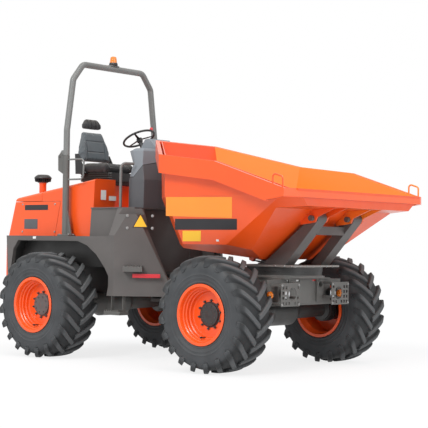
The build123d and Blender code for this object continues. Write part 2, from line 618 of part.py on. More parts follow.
def rops_hoop():
    """Folding upper hoop: straight posts, a knee, and a rounded top bar."""
    start_z = ROPS_FOLD_Z + SIDE_GAP
    path = ((ROPS_X, -ROPS_FOOT_Y, start_z), (ROPS_X, -ROPS_FOOT_Y, ROPS_KNEE_Z),
            (ROPS_X, -ROPS_SHOULDER_Y, ROPS_SHOULDER_Z), (ROPS_X, -ROPS_SHOULDER_Y + 150, ROPS_TOP_Z),
            (ROPS_X, ROPS_SHOULDER_Y - 150, ROPS_TOP_Z), (ROPS_X, ROPS_SHOULDER_Y, ROPS_SHOULDER_Z),
            (ROPS_X, ROPS_FOOT_Y, ROPS_KNEE_Z), (ROPS_X, ROPS_FOOT_Y, start_z))
    hoop = bent_tube(path, 90, ROPS_TUBE_RADIUS)
    lugs = []
    for side in (-1, 1):
        y = side * ROPS_FOOT_Y
        tongue = prism_y(((ROPS_X - 20, start_z + 60), (ROPS_X - 60, start_z + 60),
                          (ROPS_PIN_X - 24, ROPS_PIN_Z + 20), (ROPS_PIN_X - 24, ROPS_PIN_Z - 20),
                          (ROPS_PIN_X + 20, ROPS_PIN_Z - 20), (ROPS_PIN_X + 26, start_z),
                          (ROPS_X - 20, start_z)), y - 20, y + 20)
        bore = pin_y(ROPS_PIN_X, ROPS_PIN_Z, y - 30, y + 30, 11 + RUNNING_GAP)
        lugs.append(tongue - bore)
    mount = block(ROPS_X - 30, ROPS_X + 30, -70, 70, ROPS_TOP_Z + 30, ROPS_TOP_Z + 42)
    return joined([hoop, *lugs, mount])


def beacon():
    """Flashing beacon: round base and domed lens."""
    base_z = ROPS_TOP_Z + 42 + SEAT_GAP
    base = pin_z(ROPS_X, 0, base_z, base_z + 32, 52)
    lens = Pos(ROPS_X, 0, base_z + 32) * Cone(46, 38, 80, align=(Align.CENTER, Align.CENTER, Align.MIN))
    return base + lens


def grab_rails():
    """Hand loops on the posts and the upright rail at each step."""
    loop_y = ROPS_FOOT_Y
    start = ROPS_X + 38 + SEAT_GAP
    loop = bent_tube(((start, loop_y, 2222), (ROPS_X + 290, loop_y, 2222),
                      (ROPS_X + 280, loop_y, 1995), (start, loop_y, 1995)), 50, 10)
    rail = bent_tube(((-478, 622, DECK_Z + DECK_PLATE), (-478, 622, 2165), (-430, 470, 2165)), 60, 16)
    return both(loop + rail)


def side_steps():
    """Serrated steps: one on each side box and one hung under each sill."""
    parts = []
    side_x, side_y = STEP_PLACE
    run = Vector(NOSE_X - FOLD_X, NOSE_HALF_WIDTH - BODY_HALF_WIDTH, 0).normalized()
    out = Vector(-run.Y, run.X, 0)
    place = Plane(origin=(side_x, side_y, STEP_TOP_Z - 28), x_dir=run, z_dir=(0, 0, 1))
    tread = place * Pos(0, 60, 0) * Box(210, 118, 56)
    teeth = [place * Pos(-90 + 30 * i, 60, 32) * Box(14, 118, 12) for i in range(7)]
    parts.append(joined([tread, *teeth]))
    hung_y = BODY_HALF_WIDTH - 90
    low = block(-490, -250, hung_y - 60, hung_y + 80, 500, 540)
    low_teeth = [block(-486 + 32 * i, -472 + 32 * i, hung_y - 60, hung_y + 80, 538, 552) for i in range(7)]
    hangers = [block(x, x + 12, hung_y - 50, hung_y - 10, 538, SILL_Z) for x in (-470, -300)]
    parts.append(joined([low, *low_teeth, *hangers]))
    return both(parts[0]) + both(parts[1])


def lock_bar():
    """Articulation lock bar, stowed on two studs of the right side box."""
    run = Vector(NOSE_X - FOLD_X, -NOSE_HALF_WIDTH + BODY_HALF_WIDTH, 0).normalized()
    place = Plane(origin=(FOLD_X + 278, -(BODY_HALF_WIDTH - 278 * (BODY_HALF_WIDTH - NOSE_HALF_WIDTH)
                                          / (NOSE_X - FOLD_X)), 930), x_dir=run, z_dir=(0, 0, 1))
    bar = place * Pos(0, -52, 0) * Box(300, 16, 42)
    studs = [place * Pos(x, -30, 0) * Rot(90, 0, 0) * Cylinder(9, 60) for x in (-120, 120)]
    return joined([bar, *studs])


def air_precleaner():
    """Mushroom-shaped intake pre-cleaner on its stem."""
    x, y, top = -1950.0, -450.0, 2080.0
    stem = pin_z(x, y, housing_top(x) - 40, 1990, 42)
    stem = stem - prism_y(((x - 80, 1500), (x + 80, 1500), (x + 80, housing_top(x + 80) + SEAT_GAP),
                           (x - 80, housing_top(x - 80) + SEAT_GAP)), -900, 0)
    neck = pin_z(x, y, 1990, 2030, 60)
    cap = Pos(x, y, 2030) * Cone(104, 70, top - 2030, align=(Align.CENTER, Align.CENTER, Align.MIN))
    return joined([stem, neck, cap])


def engine_block():
    """The engine, one plain block at its real place and size."""
    return block(-1980, -1330, -ENGINE_HALF_WIDTH, ENGINE_HALF_WIDTH, 745, 1290)


# ---------------------------------------------------------------- steering cylinders
def cylinder_frame(base, eye):
    """A plane at the base pin whose X axis points at the rod's eye."""
    a, b = Vector(*base), Vector(*eye)
    return Plane(origin=a, x_dir=b - a, z_dir=(0, 0, 1)), (b - a).length


def steer_barrel():
    """Barrel of the left steering cylinder, with its base eye."""
    place, _ = cylinder_frame((STEER_BASE_X, STEER_BASE_Y, STEER_Z), (STEER_EYE_X, STEER_EYE_Y, STEER_Z))
    eye = Cylinder(30, 34) - Cylinder(STEER_PIN_RADIUS + RUNNING_GAP, 40)
    tube = Pos(22, 0, 0) * Rot(0, 90, 0) * Cylinder(
        STEER_BARREL_RADIUS, STEER_BARREL_LENGTH - 22, align=(Align.CENTER, Align.CENTER, Align.MIN))
    tube = tube - Pos(60, 0, 0) * Rot(0, 90, 0) * Cylinder(
        STEER_ROD_RADIUS + 0.5, STEER_BARREL_LENGTH, align=(Align.CENTER, Align.CENTER, Align.MIN))
    tube = tube - Cylinder(STEER_PIN_RADIUS + RUNNING_GAP, 40)
    return place * (eye + tube)


def steer_rod():
    """Rod of the left steering cylinder, with its eye."""
    place, length = cylinder_frame((STEER_BASE_X, STEER_BASE_Y, STEER_Z), (STEER_EYE_X, STEER_EYE_Y, STEER_Z))
    rod = Pos(230, 0, 0) * Rot(0, 90, 0) * Cylinder(
        STEER_ROD_RADIUS, length - 250, align=(Align.CENTER, Align.CENTER, Align.MIN))
    eye = Pos(length, 0, 0) * (Cylinder(28, 30) + Cylinder(STEER_PIN_RADIUS, 34))
    return place * (rod + eye)


# ---------------------------------------------------------------- front frame
def front_chassis():
    """Narrow nose to the pivot, turntable bed, front beam, lamp guards and towing lugs."""
    nose_half = 150.0
    nose = prism_z(((40, -nose_half), (470, -nose_half), (640, -380), (1600, -380), (1600, 380), (640, 380),
                    (470, nose_half), (40, nose_half)), AXLE_PAD_Z, 846)
    nose = nose - prism_z(((150, -nose_half + 20), (480, -nose_half + 20), (655, -360), (1580, -360),
                           (1580, 360), (655, 360), (480, nose_half - 20), (150, nose_half - 20)), 690, 834)
    ears = [pin_z(0, 0, z0, z1, EAR_RADIUS - 5) + block(0, 60, -EAR_RADIUS + 5, EAR_RADIUS - 5, z0, z1)
            for z0, z1 in ((PIVOT_LOW_Z + EAR_THICKNESS + SIDE_GAP, 712.0),
                           (834.0, PIVOT_HIGH_Z - SIDE_GAP))]
    bore = pin_z(0, 0, 600, 900, PIVOT_PIN_RADIUS + RUNNING_GAP)
    web = block(130, 160, -nose_half, nose_half, 700, 846)
    neck = block(30, 60, -EAR_RADIUS + 5, EAR_RADIUS - 5, 676, 858)
    bed = block(SLEW_X - 420, 1645, -400, 400, CHASSIS_TOP_Z - 16, CHASSIS_TOP_Z)
    walls = both(block(SLEW_X - 420, 1600, 368, 384, 840, CHASSIS_TOP_Z - 10))
    cross = [block(x, x + 16, -370, 370, 840, CHASSIS_TOP_Z - 10) for x in (SLEW_X - 420, 1584)]
    beam = block(BEAM_X - 52, BEAM_X, -BEAM_HALF_WIDTH, BEAM_HALF_WIDTH, 668, 935)
    window = both(block(1550, 1620, 445, 565, 704, 890))
    panel = block(1610, 1622, -110, 110, 690, 932)
    lugs = both(prism_x(((180, 700), (180, 935), (300, 935), (300, 800), (270, 700)), 1610, 1632))
    lug_hole = both(rod_between((BEAM_X - 60, TOW_EYE_Y, TOW_EYE_Z), (BEAM_X + 30, TOW_EYE_Y, TOW_EYE_Z),
                                TOW_EYE_RADIUS))
    ring = pin_z(SLEW_X, 0, CHASSIS_TOP_Z, RING_SPLIT_Z, RING_OUTER - 6) - pin_z(
        SLEW_X, 0, CHASSIS_TOP_Z - 1, RING_SPLIT_Z + 1, RING_BORE)
    flange = pin_z(SLEW_X, 0, CHASSIS_TOP_Z, CHASSIS_TOP_Z + 20, RING_OUTER + 22) - pin_z(
        SLEW_X, 0, CHASSIS_TOP_Z - 1, CHASSIS_TOP_Z + 21, RING_BORE)
    steer_ears = [block(STEER_EYE_X - 34, STEER_EYE_X + 70, 90, STEER_EYE_Y + 32, STEER_Z + z, STEER_Z + z + 12)
                  for z in (-31, 19)]
    steer_ears += [block(STEER_EYE_X + 56, STEER_EYE_X + 70, 90, STEER_EYE_Y + 32, STEER_Z - 25, STEER_Z + 25),
                   block(STEER_EYE_X - 34, STEER_EYE_X + 70, 90, 140, 840, STEER_Z - 25)]
    steer_bracket = both(joined(steer_ears))
    return joined([nose, *ears, neck, web, bed, walls, *cross, beam - window, panel,
                   lugs, ring, flange, steer_bracket]) - bore - lug_hole


def lamp_guards():
    """Perforated guard plate in front of each headlamp, on two stays."""
    inner, outer = GUARD_INNER_Y, GUARD_INNER_Y + GUARD_WIDTH
    plate = block(GUARD_X, GUARD_X + 8, inner, outer, 668, 905)
    grid = [(inner + 34 + 48 * i, 700 + 52 * k) for i in range(6) for k in range(4)]
    holes = [block(GUARD_X - 10, GUARD_X + 18, y - 14, y + 14, z - 15, z + 15) for y, z in grid
             if (y - LAMP_Y) ** 2 + (z - LAMP_Z) ** 2 > 92 ** 2]
    opening = rod_between((GUARD_X - 10, LAMP_Y, LAMP_Z), (GUARD_X + 18, LAMP_Y, LAMP_Z), 66)
    stays = [block(BEAM_X + SEAT_GAP, GUARD_X + 2, outer - 15, outer, z, z + 24) for z in (676, 870)]
    stays += [block(BEAM_X + 20 + SEAT_GAP, GUARD_X + 2, inner, inner + 15, z, z + 24) for z in (740, 909 - 24)]
    for hole in (opening, *holes):
        plate = plate - hole
    return both(joined([plate, *stays]))


def headlamps():
    """Round headlamps: bowl and lens, standing on the front beam."""
    bowl = spun(((0, 0), (0, 34), (30, 54), (68, 58), (78, 50), (84, 0)))
    lamp = Pos(BEAM_X + SEAT_GAP, LAMP_Y, LAMP_Z) * Rot(0, 0, -90) * bowl
    return both(lamp)


def indicators():
    """Round amber turn lamps outside the headlamps."""
    bowl = spun(((0, 0), (0, 38), (22, 38), (38, 24), (44, 0)))
    return both(Pos(BEAM_X + SEAT_GAP, INDICATOR_Y, INDICATOR_Z) * Rot(0, 0, -90) * bowl)


# ---------------------------------------------------------------- turntable and carrier
def skip_carrier():
    """Turntable with two leaning arms, side plates and the tip cylinder's bracket."""
    top = TURNTABLE_Z + TURNTABLE_PLATE
    ring = pin_z(SLEW_X, 0, RING_SPLIT_Z + SEAT_GAP, TURNTABLE_Z, RING_OUTER) - pin_z(
        SLEW_X, 0, RING_SPLIT_Z, TURNTABLE_Z + 1, RING_BORE)
    plate = pin_z(SLEW_X, 0, TURNTABLE_Z, top, TURNTABLE_RADIUS) + block(
        SLEW_X, SLEW_X + 420, -395, 395, TURNTABLE_Z, top)
    plate = plate - pin_z(SLEW_X, 0, TURNTABLE_Z - 1, top + 1, RING_BORE)
    plate = plate - block(SLEW_X - RING_BORE - 60, SLEW_X, -60, 60, TURNTABLE_Z - 1, top + 1)
    inner, outer = ARM_Y - ARM_WIDTH / 2, ARM_Y + ARM_WIDTH / 2
    arm = prism_y(((1500, top), (1640, top), (TIP_X + ARM_END_RADIUS * 0.8, TIP_Z - ARM_END_RADIUS * 0.6),
                   (TIP_X - ARM_END_RADIUS * 0.8, TIP_Z + ARM_END_RADIUS * 0.6)), inner, outer)
    arm = arm + pin_y(TIP_X, TIP_Z, inner, outer, ARM_END_RADIUS)
    cheek = prism_y(((1290, top), (1290, top + 18), (1372, top + 22), (TIP_X - 120, TIP_Z - 60),
                     (TIP_X - 40, TIP_Z - 45), (1560, top)), outer - 14, outer)
    cross = block(1840, 1930, -inner - 5, inner + 5, 1392, 1478)
    pin = pin_y(TIP_X, TIP_Z, inner - 60, outer + 60, TIP_PIN_RADIUS)
    bracket = both(prism_y(((TIP_BASE_X - 45, TIP_BASE_Z - 40), (TIP_BASE_X + 45, TIP_BASE_Z - 40),
                            (1700, TURNTABLE_Z + 2), (1700, top), (TIP_BASE_X - 20, top),
                            (TIP_BASE_X - 45, TIP_BASE_Z + 30)), 60, 80))
    base_pin = pin_y(TIP_BASE_X, TIP_BASE_Z, -84, 84, TIP_RAM_PIN)
    return joined([plate, ring, both(arm), both(cheek), cross, both(pin), bracket, base_pin])


def ram_place():
    """Plane at the tip ram's base pin, X along the ram, Y across the machine."""
    base, eye = Vector(TIP_BASE_X, 0, TIP_BASE_Z), Vector(TIP_EYE_X, 0, TIP_EYE_Z)
    along = (eye - base)
    return Plane(origin=base, x_dir=along, z_dir=Vector(0, 1, 0)), along.length


def ram_tube(start, end, radius, bore):
    """A tube of the ram along its own axis."""
    tube = Pos(start, 0, 0) * Rot(0, 90, 0) * Cylinder(
        radius, end - start, align=(Align.CENTER, Align.CENTER, Align.MIN))
    if bore:
        tube = tube - Pos(start + 30, 0, 0) * Rot(0, 90, 0) * Cylinder(
            bore, end - start, align=(Align.CENTER, Align.CENTER, Align.MIN))
    return tube


def tip_barrel():
    """Outer tube of the two-stage tip ram, with its base eye."""
    place, _ = ram_place()
    eye = Cylinder(38, 110)
    bore = Cylinder(TIP_RAM_PIN + RUNNING_GAP, 130)
    return place * ((ram_tube(*RAM_BARREL) + eye) - bore)


def tip_stage():
    """Middle tube of the tip ram."""
    place, _ = ram_place()
    return place * ram_tube(*RAM_STAGE)


def tip_rod():
    """Inner rod of the tip ram, with its eye."""
    place, length = ram_place()
    eye = Pos(length, 0, 0) * Cylinder(36, 60)
    pin = Pos(length, 0, 0) * Cylinder(TIP_RAM_PIN, 2 * (TIP_LUG_Y - SEAT_GAP))
    return place * (ram_tube(*RAM_ROD) + eye + pin)


# ---------------------------------------------------------------- skip
# Every facet of the bowl: name, a point on it, and its outward normal; those with
# a sideways normal are mirrored to the other side. The bowl lies behind all of them,
# apart from its front, which lies above either the ramp or the lip's underside.
SIDE_SLOPE = 0.4356
SIDE_CREASE_Z = 1770.0
RAMP_SLOPE = 0.80
SKIP_FACETS = (
    ("floor rear", (1360, 0, SKIP_FLOOR_Z), (-0.134, 0, -1)),
    ("lip face", (2300, 0, 1700), (1, 0, -0.12)),
    ("rear low", (280, 0, 1280), (-1, 0, -0.485)),
    ("rear high", (35, 0, 1785), (-1, 0, -0.12)),
    ("side low", (1276, 880, 1280), (0, 1, -SIDE_SLOPE)),
    ("side high", (1276, 1093, SIDE_CREASE_Z), (0, 1, -0.12)),
    ("belly side", (1360, 420, SKIP_FLOOR_Z), (0, 0.315, -1)),
    ("rear corner low", (280, 466, 1280), (-0.707, 0.707, -0.404)),
    ("rear corner high", (0, 466, SIDE_CREASE_Z), (-0.707, 0.707, -0.02)),
    ("front corner", (1276, 880, 1280), (0.45, 1, -1.232)),
)
FRONT_FACETS = (
    ("ramp", (1365, 0, SKIP_FLOOR_Z), (RAMP_SLOPE, 0, -1)),
    ("under lip", (2285, 0, 1660), (0.0667, 0, -1)),
)
RIM_LINE = ((-68, 2410), (646, 2189), (1377, 2100), (2251, 1820), (LIP_X, 1822))


def behind(body, point, normal, inset):
    """What of a body lies behind a facet that is moved in by some depth."""
    n = Vector(*normal).normalized()
    return split(body, bisect_by=Plane(origin=Vector(*point) - n * inset, z_dir=n), keep=Keep.BOTTOM)


def bowl(inset, top_z):
    """The skip's faceted body, every facet moved in by the wall."""
    body = block(-400, 2700, -1500, 1500, 1000, top_z)
    for _, (x, y, z), (nx, ny, nz) in SKIP_FACETS:
        for side in ((1, -1) if ny else (1,)):
            body = behind(body, (x, side * y, z), (nx, side * ny, nz), inset)
    ramp, lip = [behind(body, point, normal, inset) for _, point, normal in FRONT_FACETS]
    body = ramp + lip
    half = RIM_HALF_WIDTH - RIM_BAND_WIDTH + 6 - inset
    return common(body, block(-400, 2700, -half, half, 900, top_z + 10))


def band_plan(inset):
    """Plan of the rim band, set in by a width."""
    half, diag = RIM_HALF_WIDTH - inset, inset * 0.41
    return ((-68 + inset, 505 - diag), (646 + diag, half), (2251 - diag, half),
            (LIP_X - inset, LIP_HALF_WIDTH - diag), (LIP_X - inset, -LIP_HALF_WIDTH + diag),
            (2251 - diag, -half), (646 + diag, -half), (-68 + inset, -505 + diag))


def under_rim(drop, z_low):
    """Everything under the rim line, or under a line parallel to it."""
    line = [(x, z - drop) for x, z in RIM_LINE]
    return prism_y(((-300, z_low), (-300, line[0][1]), *line, (LIP_X + 200, line[-1][1]),
                    (LIP_X + 200, z_low)), -1400, 1400)


def skip_shell():
    """Hollow bowl with its folded rim band, lip and lifting loops."""
    outer = bowl(0, 2420)
    inner = bowl(SKIP_WALL, 2430)
    band = prism_z(band_plan(0), 1500, 2450) - prism_z(band_plan(RIM_BAND_WIDTH), 1490, 2460)
    band = common(band, under_rim(0, 1400)) - under_rim(RIM_BAND_DEPTH, 1300)
    lip_cut = prism_y(((1900, 1400), (LIP_X + 50, 1400), (LIP_X + 50, LIP_FOOT_Z), (2240, LIP_FOOT_Z),
                       (2040, 1712)), -1400, 1400)
    lean = (LIP_X - LIP_TOP_X) / (RIM_LINE[-1][1] - LIP_FOOT_Z)
    band = behind(band - lip_cut, (LIP_TOP_X, 0, RIM_LINE[-1][1]), (1, 0, lean), 0)
    bowl_shell = common(outer - inner, under_rim(2, 900))
    shell = bowl_shell + (band - inner)
    return shell


def lifting_loops():
    """Round-bar loops that stand on the rim near the lip."""
    y = RIM_HALF_WIDTH - 20
    low, high = rim_z(2105) + SEAT_GAP, rim_z(2225) + SEAT_GAP
    return both(bent_tube(((2105, y, low), (2105, y, low + 98), (2225, y, high + 98), (2225, y, high)), 30, 9)
                - under_rim(-SEAT_GAP, 1300))


def rim_z(x):
    """Height of the rim at one place."""
    for (x0, z0), (x1, z1) in zip(RIM_LINE, RIM_LINE[1:]):
        if x0 <= x <= x1:
            return z0 + (z1 - z0) * (x - x0) / (x1 - x0)
    raise ValueError(x)


def skip_brackets():
    """Hinge cheeks under the lip, ribs, and the tip ram's lug."""
    cheek_gap = SIDE_GAP + 8
    inner, outer = ARM_Y - ARM_WIDTH / 2 - cheek_gap, ARM_Y + ARM_WIDTH / 2 + cheek_gap
    outline = ((TIP_X - 150, 1490), (TIP_X - 30, TIP_Z - 52), (TIP_X + 36, TIP_Z - 40),
               (TIP_X + 60, TIP_Z + 10), (2280, 1659), (2280, 1700), (1900, 1700), (TIP_X - 150, 1560))
    cheeks = []
    for y0, y1 in ((inner - 14, inner), (outer, outer + 14)):
        cheek = prism_y(outline, y0, y1) - pin_y(TIP_X, TIP_Z, y0 - 5, y1 + 5, TIP_PIN_RADIUS + RUNNING_GAP)
        cheeks.append(cheek)
    lug = prism_y(((TIP_EYE_X - 60, 1240), (TIP_EYE_X - 34, TIP_EYE_Z - 20), (TIP_EYE_X + 10, TIP_EYE_Z - 34),
                   (TIP_EYE_X + 36, TIP_EYE_Z), (TIP_EYE_X + 70, 1240)),
                  TIP_LUG_Y, TIP_LUG_Y + 14)
    pieces = joined([*[both(c) for c in cheeks], both(lug)])
    return pieces - bowl(0, 2420)


def right_and_left(shape):
    """The mirror image of a left piece, then the piece itself."""
    return mirror(shape, about=Plane.XZ), shape


def main():
    os.makedirs("parts", exist_ok=True)
    nodes = {
        "rear_chassis": rear_chassis(), "rear_axle": axle(REAR_AXLE_X), "engine_block": engine_block(),
        "engine_housing": engine_housing(), "engine_panels": engine_panels(),
        "rear_grille": rear_grille(), "rear_bumper": rear_bumper(),
        "tail_lamps": tail_lamps(), "deck": deck(), "console": console(),
        "steering_wheel": steering_wheel(), "seat_base": seat_base(), "seat_cushion": seat_cushion(),
        "seat_back": seat_back(), "seat_headrest": seat_headrest(), "rops_posts": rops_posts(),
        "grab_rails": grab_rails(), "side_steps": side_steps(), "lock_bar": lock_bar(),
        "hood": hood(), "air_precleaner": air_precleaner(), "rops_hoop": rops_hoop(), "beacon": beacon(),
        "front_chassis": front_chassis(), "front_axle": axle(FRONT_AXLE_X), "lamp_guards": lamp_guards(),
        "headlamps": headlamps(), "indicators": indicators(), "skip_carrier": skip_carrier(),
        "skip_shell": skip_shell(), "lifting_loops": lifting_loops(), "skip_brackets": skip_brackets(),
        "tip_barrel": tip_barrel(),
        "tip_stage": tip_stage(), "tip_rod": tip_rod(),
    }
    body = side_body()
    nodes["side_body_right"], nodes["side_body_left"] = right_and_left(body)
    nodes["steer_barrel_right"], nodes["steer_barrel_left"] = right_and_left(steer_barrel())
    nodes["steer_rod_right"], nodes["steer_rod_left"] = right_and_left(steer_rod())
    left_tyre, left_rim = tyre(), wheel_rim()
    for end, x in (("front", FRONT_AXLE_X), ("rear", REAR_AXLE_X)):
        for name, side in SIDES:
            place = Pos(x, side * TRACK / 2, TYRE_RADIUS)
            rim = left_rim if side > 0 else mirror(left_rim, about=Plane.XZ)
            rubber = left_tyre if side > 0 else mirror(left_tyre, about=Plane.XZ)
            nodes[f"rim_{end}_{name}"] = place * rim
            nodes[f"tyre_{end}_{name}"] = place * rubber
    for name, shape in nodes.items():
        export_step(shape, f"parts/{name}.step")


main()
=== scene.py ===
# %% [markdown]
# # A swivel-skip site dumper, dressed for its studio picture
# The machine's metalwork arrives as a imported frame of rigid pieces. This lesson gives each of them
# a believable surface, and builds the parts that a frame leaves plain: treaded tyres, dished rims,
# padded seat, lamps, labels and bolts. Everything is in metres: X forwards, Y to the driver's left.

from math import cos, pi, radians, sin

import bmesh
import bpy
from mathutils import Matrix, Vector


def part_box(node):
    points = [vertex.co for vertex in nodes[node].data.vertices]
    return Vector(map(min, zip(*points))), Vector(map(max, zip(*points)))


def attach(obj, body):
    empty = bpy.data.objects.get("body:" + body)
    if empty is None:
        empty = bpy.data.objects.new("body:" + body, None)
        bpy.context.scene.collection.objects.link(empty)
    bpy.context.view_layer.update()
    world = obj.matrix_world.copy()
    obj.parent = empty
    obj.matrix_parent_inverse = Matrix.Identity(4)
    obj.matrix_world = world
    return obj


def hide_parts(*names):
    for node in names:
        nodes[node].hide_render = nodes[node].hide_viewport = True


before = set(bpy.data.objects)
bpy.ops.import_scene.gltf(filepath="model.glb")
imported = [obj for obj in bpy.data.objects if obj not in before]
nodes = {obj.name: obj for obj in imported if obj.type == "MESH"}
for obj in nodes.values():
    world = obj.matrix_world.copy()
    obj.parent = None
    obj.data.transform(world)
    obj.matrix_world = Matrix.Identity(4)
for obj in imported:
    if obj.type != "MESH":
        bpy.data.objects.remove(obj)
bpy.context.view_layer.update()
SIDES = (("left", 1), ("right", -1))                         # name, and sign of Y
AXLE_X, WHEEL_RADIUS, HALF_TRACK = 1.235, 0.585, 0.9835
BONNET_SIDE_Y, FENDER_Y = 0.66, 0.85
HOUSING_FRONT_X, NOSE_BEAM_X, TABLE_FRONT_X = -0.85, 1.612, 1.76
BOX_FOLD_X, BOX_ALONG, BOX_OUT = -0.340, 0.7717, 0.636       # tapered side box: its fold and its direction
WALL_FOOT_Y, WALL_FOOT_Z, WALL_SLOPE = 0.880, 1.280, 0.4356  # sloped side wall of the skip

# %% [markdown]
# ## The camera
# A long lens keeps the machine's faces nearly parallel, as in a catalogue picture. The camera stands
# low, off the front right corner. Its three axes are worked out from the angles, which is exact and
# avoids a tracking constraint that would have to be baked afterwards.

# %% Camera
turn, lift, roll = radians(40.276), radians(-1.418), radians(0.82)
back = Vector((sin(turn) * cos(lift), -cos(turn) * cos(lift), sin(lift)))
side = Vector((cos(turn), sin(turn), 0))
above = back.cross(side)
camera = bpy.data.objects.new("studio_camera", bpy.data.cameras.new("studio_camera"))
camera.data.sensor_width = 36
camera.data.lens = 109.15
camera.data.shift_x, camera.data.shift_y = -0.0242, -0.0030
camera.data.clip_end = 200
axes = Matrix((side * cos(roll) + above * sin(roll), above * cos(roll) - side * sin(roll), back)).transposed()
camera.matrix_world = Matrix.Translation((9.664, -10.813, 1.278)) @ axes.to_4x4()
bpy.context.scene.collection.objects.link(camera)
bpy.context.scene.camera = camera
bpy.context.scene.view_settings.view_transform = "Standard"
print("camera stands at", tuple(camera.location))

# %% [markdown]
# ## A plain white studio
# Three wide suns do the work of soft boxes: the key one comes over the machine's right flank, weaker
# ones from above and ahead. The world fills the shadows. What the camera and shiny paint see behind
# the machine is pure white, which Light Path's rays allow without pouring more light on the object.

# %% Light, backdrop and floor
def sun(name, towards, strength, spread):
    """A soft sun that shines from a direction."""
    lamp = bpy.data.objects.new(name, bpy.data.lights.new(name, "SUN"))
    lamp.data.energy = strength
    lamp.data.angle = radians(spread)
    lamp.rotation_euler = Vector(towards).to_track_quat("Z", "Y").to_euler()
    bpy.context.scene.collection.objects.link(lamp)


sun("key_sun", (0.15, -0.86, 0.62), 1.95, 24)
sun("top_sun", (0.3, -0.1, 1.0), 1.0, 40)
sun("nose_sun", (0.95, -0.2, 0.3), 0.75, 40)


def seen_rays(tree):
    """A value of 1 for rays that look at the background straight or through gloss and glass."""
    path = tree.nodes.new("ShaderNodeLightPath")
    total = None
    for name in ("Is Camera Ray", "Is Glossy Ray", "Is Transmission Ray"):
        if total is None:
            total = path.outputs[name]
            continue
        add = tree.nodes.new("ShaderNodeMath")
        add.operation, add.use_clamp = "ADD", True
        tree.links.new(total, add.inputs[0])
        tree.links.new(path.outputs[name], add.inputs[1])
        total = add.outputs[0]
    return total


world = bpy.data.worlds.new("white_studio")
bpy.context.scene.world = world
world.use_nodes = True
sky = world.node_tree
sky.nodes.clear()
fill, white = sky.nodes.new("ShaderNodeBackground"), sky.nodes.new("ShaderNodeBackground")
fill.inputs["Color"].default_value, fill.inputs["Strength"].default_value = (0.93, 0.96, 1, 1), 0.58
white.inputs["Color"].default_value, white.inputs["Strength"].default_value = (1, 1, 1, 1), 1.0
blend, out = sky.nodes.new("ShaderNodeMixShader"), sky.nodes.new("ShaderNodeOutputWorld")
sky.links.new(seen_rays(sky), blend.inputs[0])
sky.links.new(fill.outputs[0], blend.inputs[1])
sky.links.new(white.outputs[0], blend.inputs[2])
sky.links.new(blend.outputs[0], out.inputs[0])

bpy.ops.mesh.primitive_plane_add(size=60, location=(0, 0, 0))
floor = bpy.context.object
floor.name = "studio_floor"
floor_finish = bpy.data.materials.new("studio_floor")
floor_finish.use_nodes = True
tree = floor_finish.node_tree
tree.nodes.clear()
matt, glow = tree.nodes.new("ShaderNodeBsdfDiffuse"), tree.nodes.new("ShaderNodeEmission")
matt.inputs["Color"].default_value = (0.86, 0.86, 0.86, 1)
glow.inputs["Color"].default_value = (1, 1, 1, 1)
glow.inputs["Strength"].default_value = 1.0
share = tree.nodes.new("ShaderNodeMath")
share.operation = "MULTIPLY"
share.inputs[1].default_value = 0.8
tree.links.new(seen_rays(tree), share.inputs[0])
mix, surface = tree.nodes.new("ShaderNodeMixShader"), tree.nodes.new("ShaderNodeOutputMaterial")
tree.links.new(share.outputs[0], mix.inputs[0])
tree.links.new(matt.outputs[0], mix.inputs[1])
tree.links.new(glow.outputs[0], mix.inputs[2])
tree.links.new(mix.outputs[0], surface.inputs[0])
floor.data.materials.append(floor_finish)
print("studio: 3 suns, white world, one floor")

# %% [markdown]
# ## One recipe for painted, moulded and rubber surfaces
# A real surface is never one flat colour. The recipe reads Object coordinates, so the pattern stays
# on its piece, and layers four things: slow cloudy variation of the colour, a pale tint on faces that
# look up, part site dust and part painted light on the tops, a roughness that wanders a little, and a
# fine grain in the bump. A Bevel node rounds the sharp edges in the shading and shows where they are,
# so a painted highlight can make them lighter.

# %% The surface recipe
def node(tree, kind, inputs=None, **settings):
    """Add a node, with its settings, and its inputs as values or links."""
    made = tree.nodes.new(kind)
    for key, value in settings.items():
        setattr(made, key, value)
    for key, value in (inputs or {}).items():
        if isinstance(value, bpy.types.NodeSocket):
            tree.links.new(value, made.inputs[key])
        else:
            made.inputs[key].default_value = value
    return made


def span(tree, value, low, high):
    """Stretch a 0..1 noise to a range."""
    return node(tree, "ShaderNodeMapRange", {"Value": value, "From Min": 0.3, "From Max": 0.7,
                                             "To Min": low, "To Max": high}).outputs["Result"]


def mixed(tree, share, first, second):
    """Mix two colours."""
    made = node(tree, "ShaderNodeMix", data_type="RGBA")
    for index, value in ((0, share), (6, first), (7, second)):
        if isinstance(value, bpy.types.NodeSocket):
            tree.links.new(value, made.inputs[index])
        else:
            made.inputs[index].default_value = value
    return made.outputs[2]


def rgb(red, green, blue):
    """A colour given as it looks on a screen, 0 to 255."""
    parts = [v / 255 for v in (red, green, blue)]
    return tuple(v / 12.92 if v <= 0.04045 else ((v + 0.055) / 1.055) ** 2.4 for v in parts) + (1,)


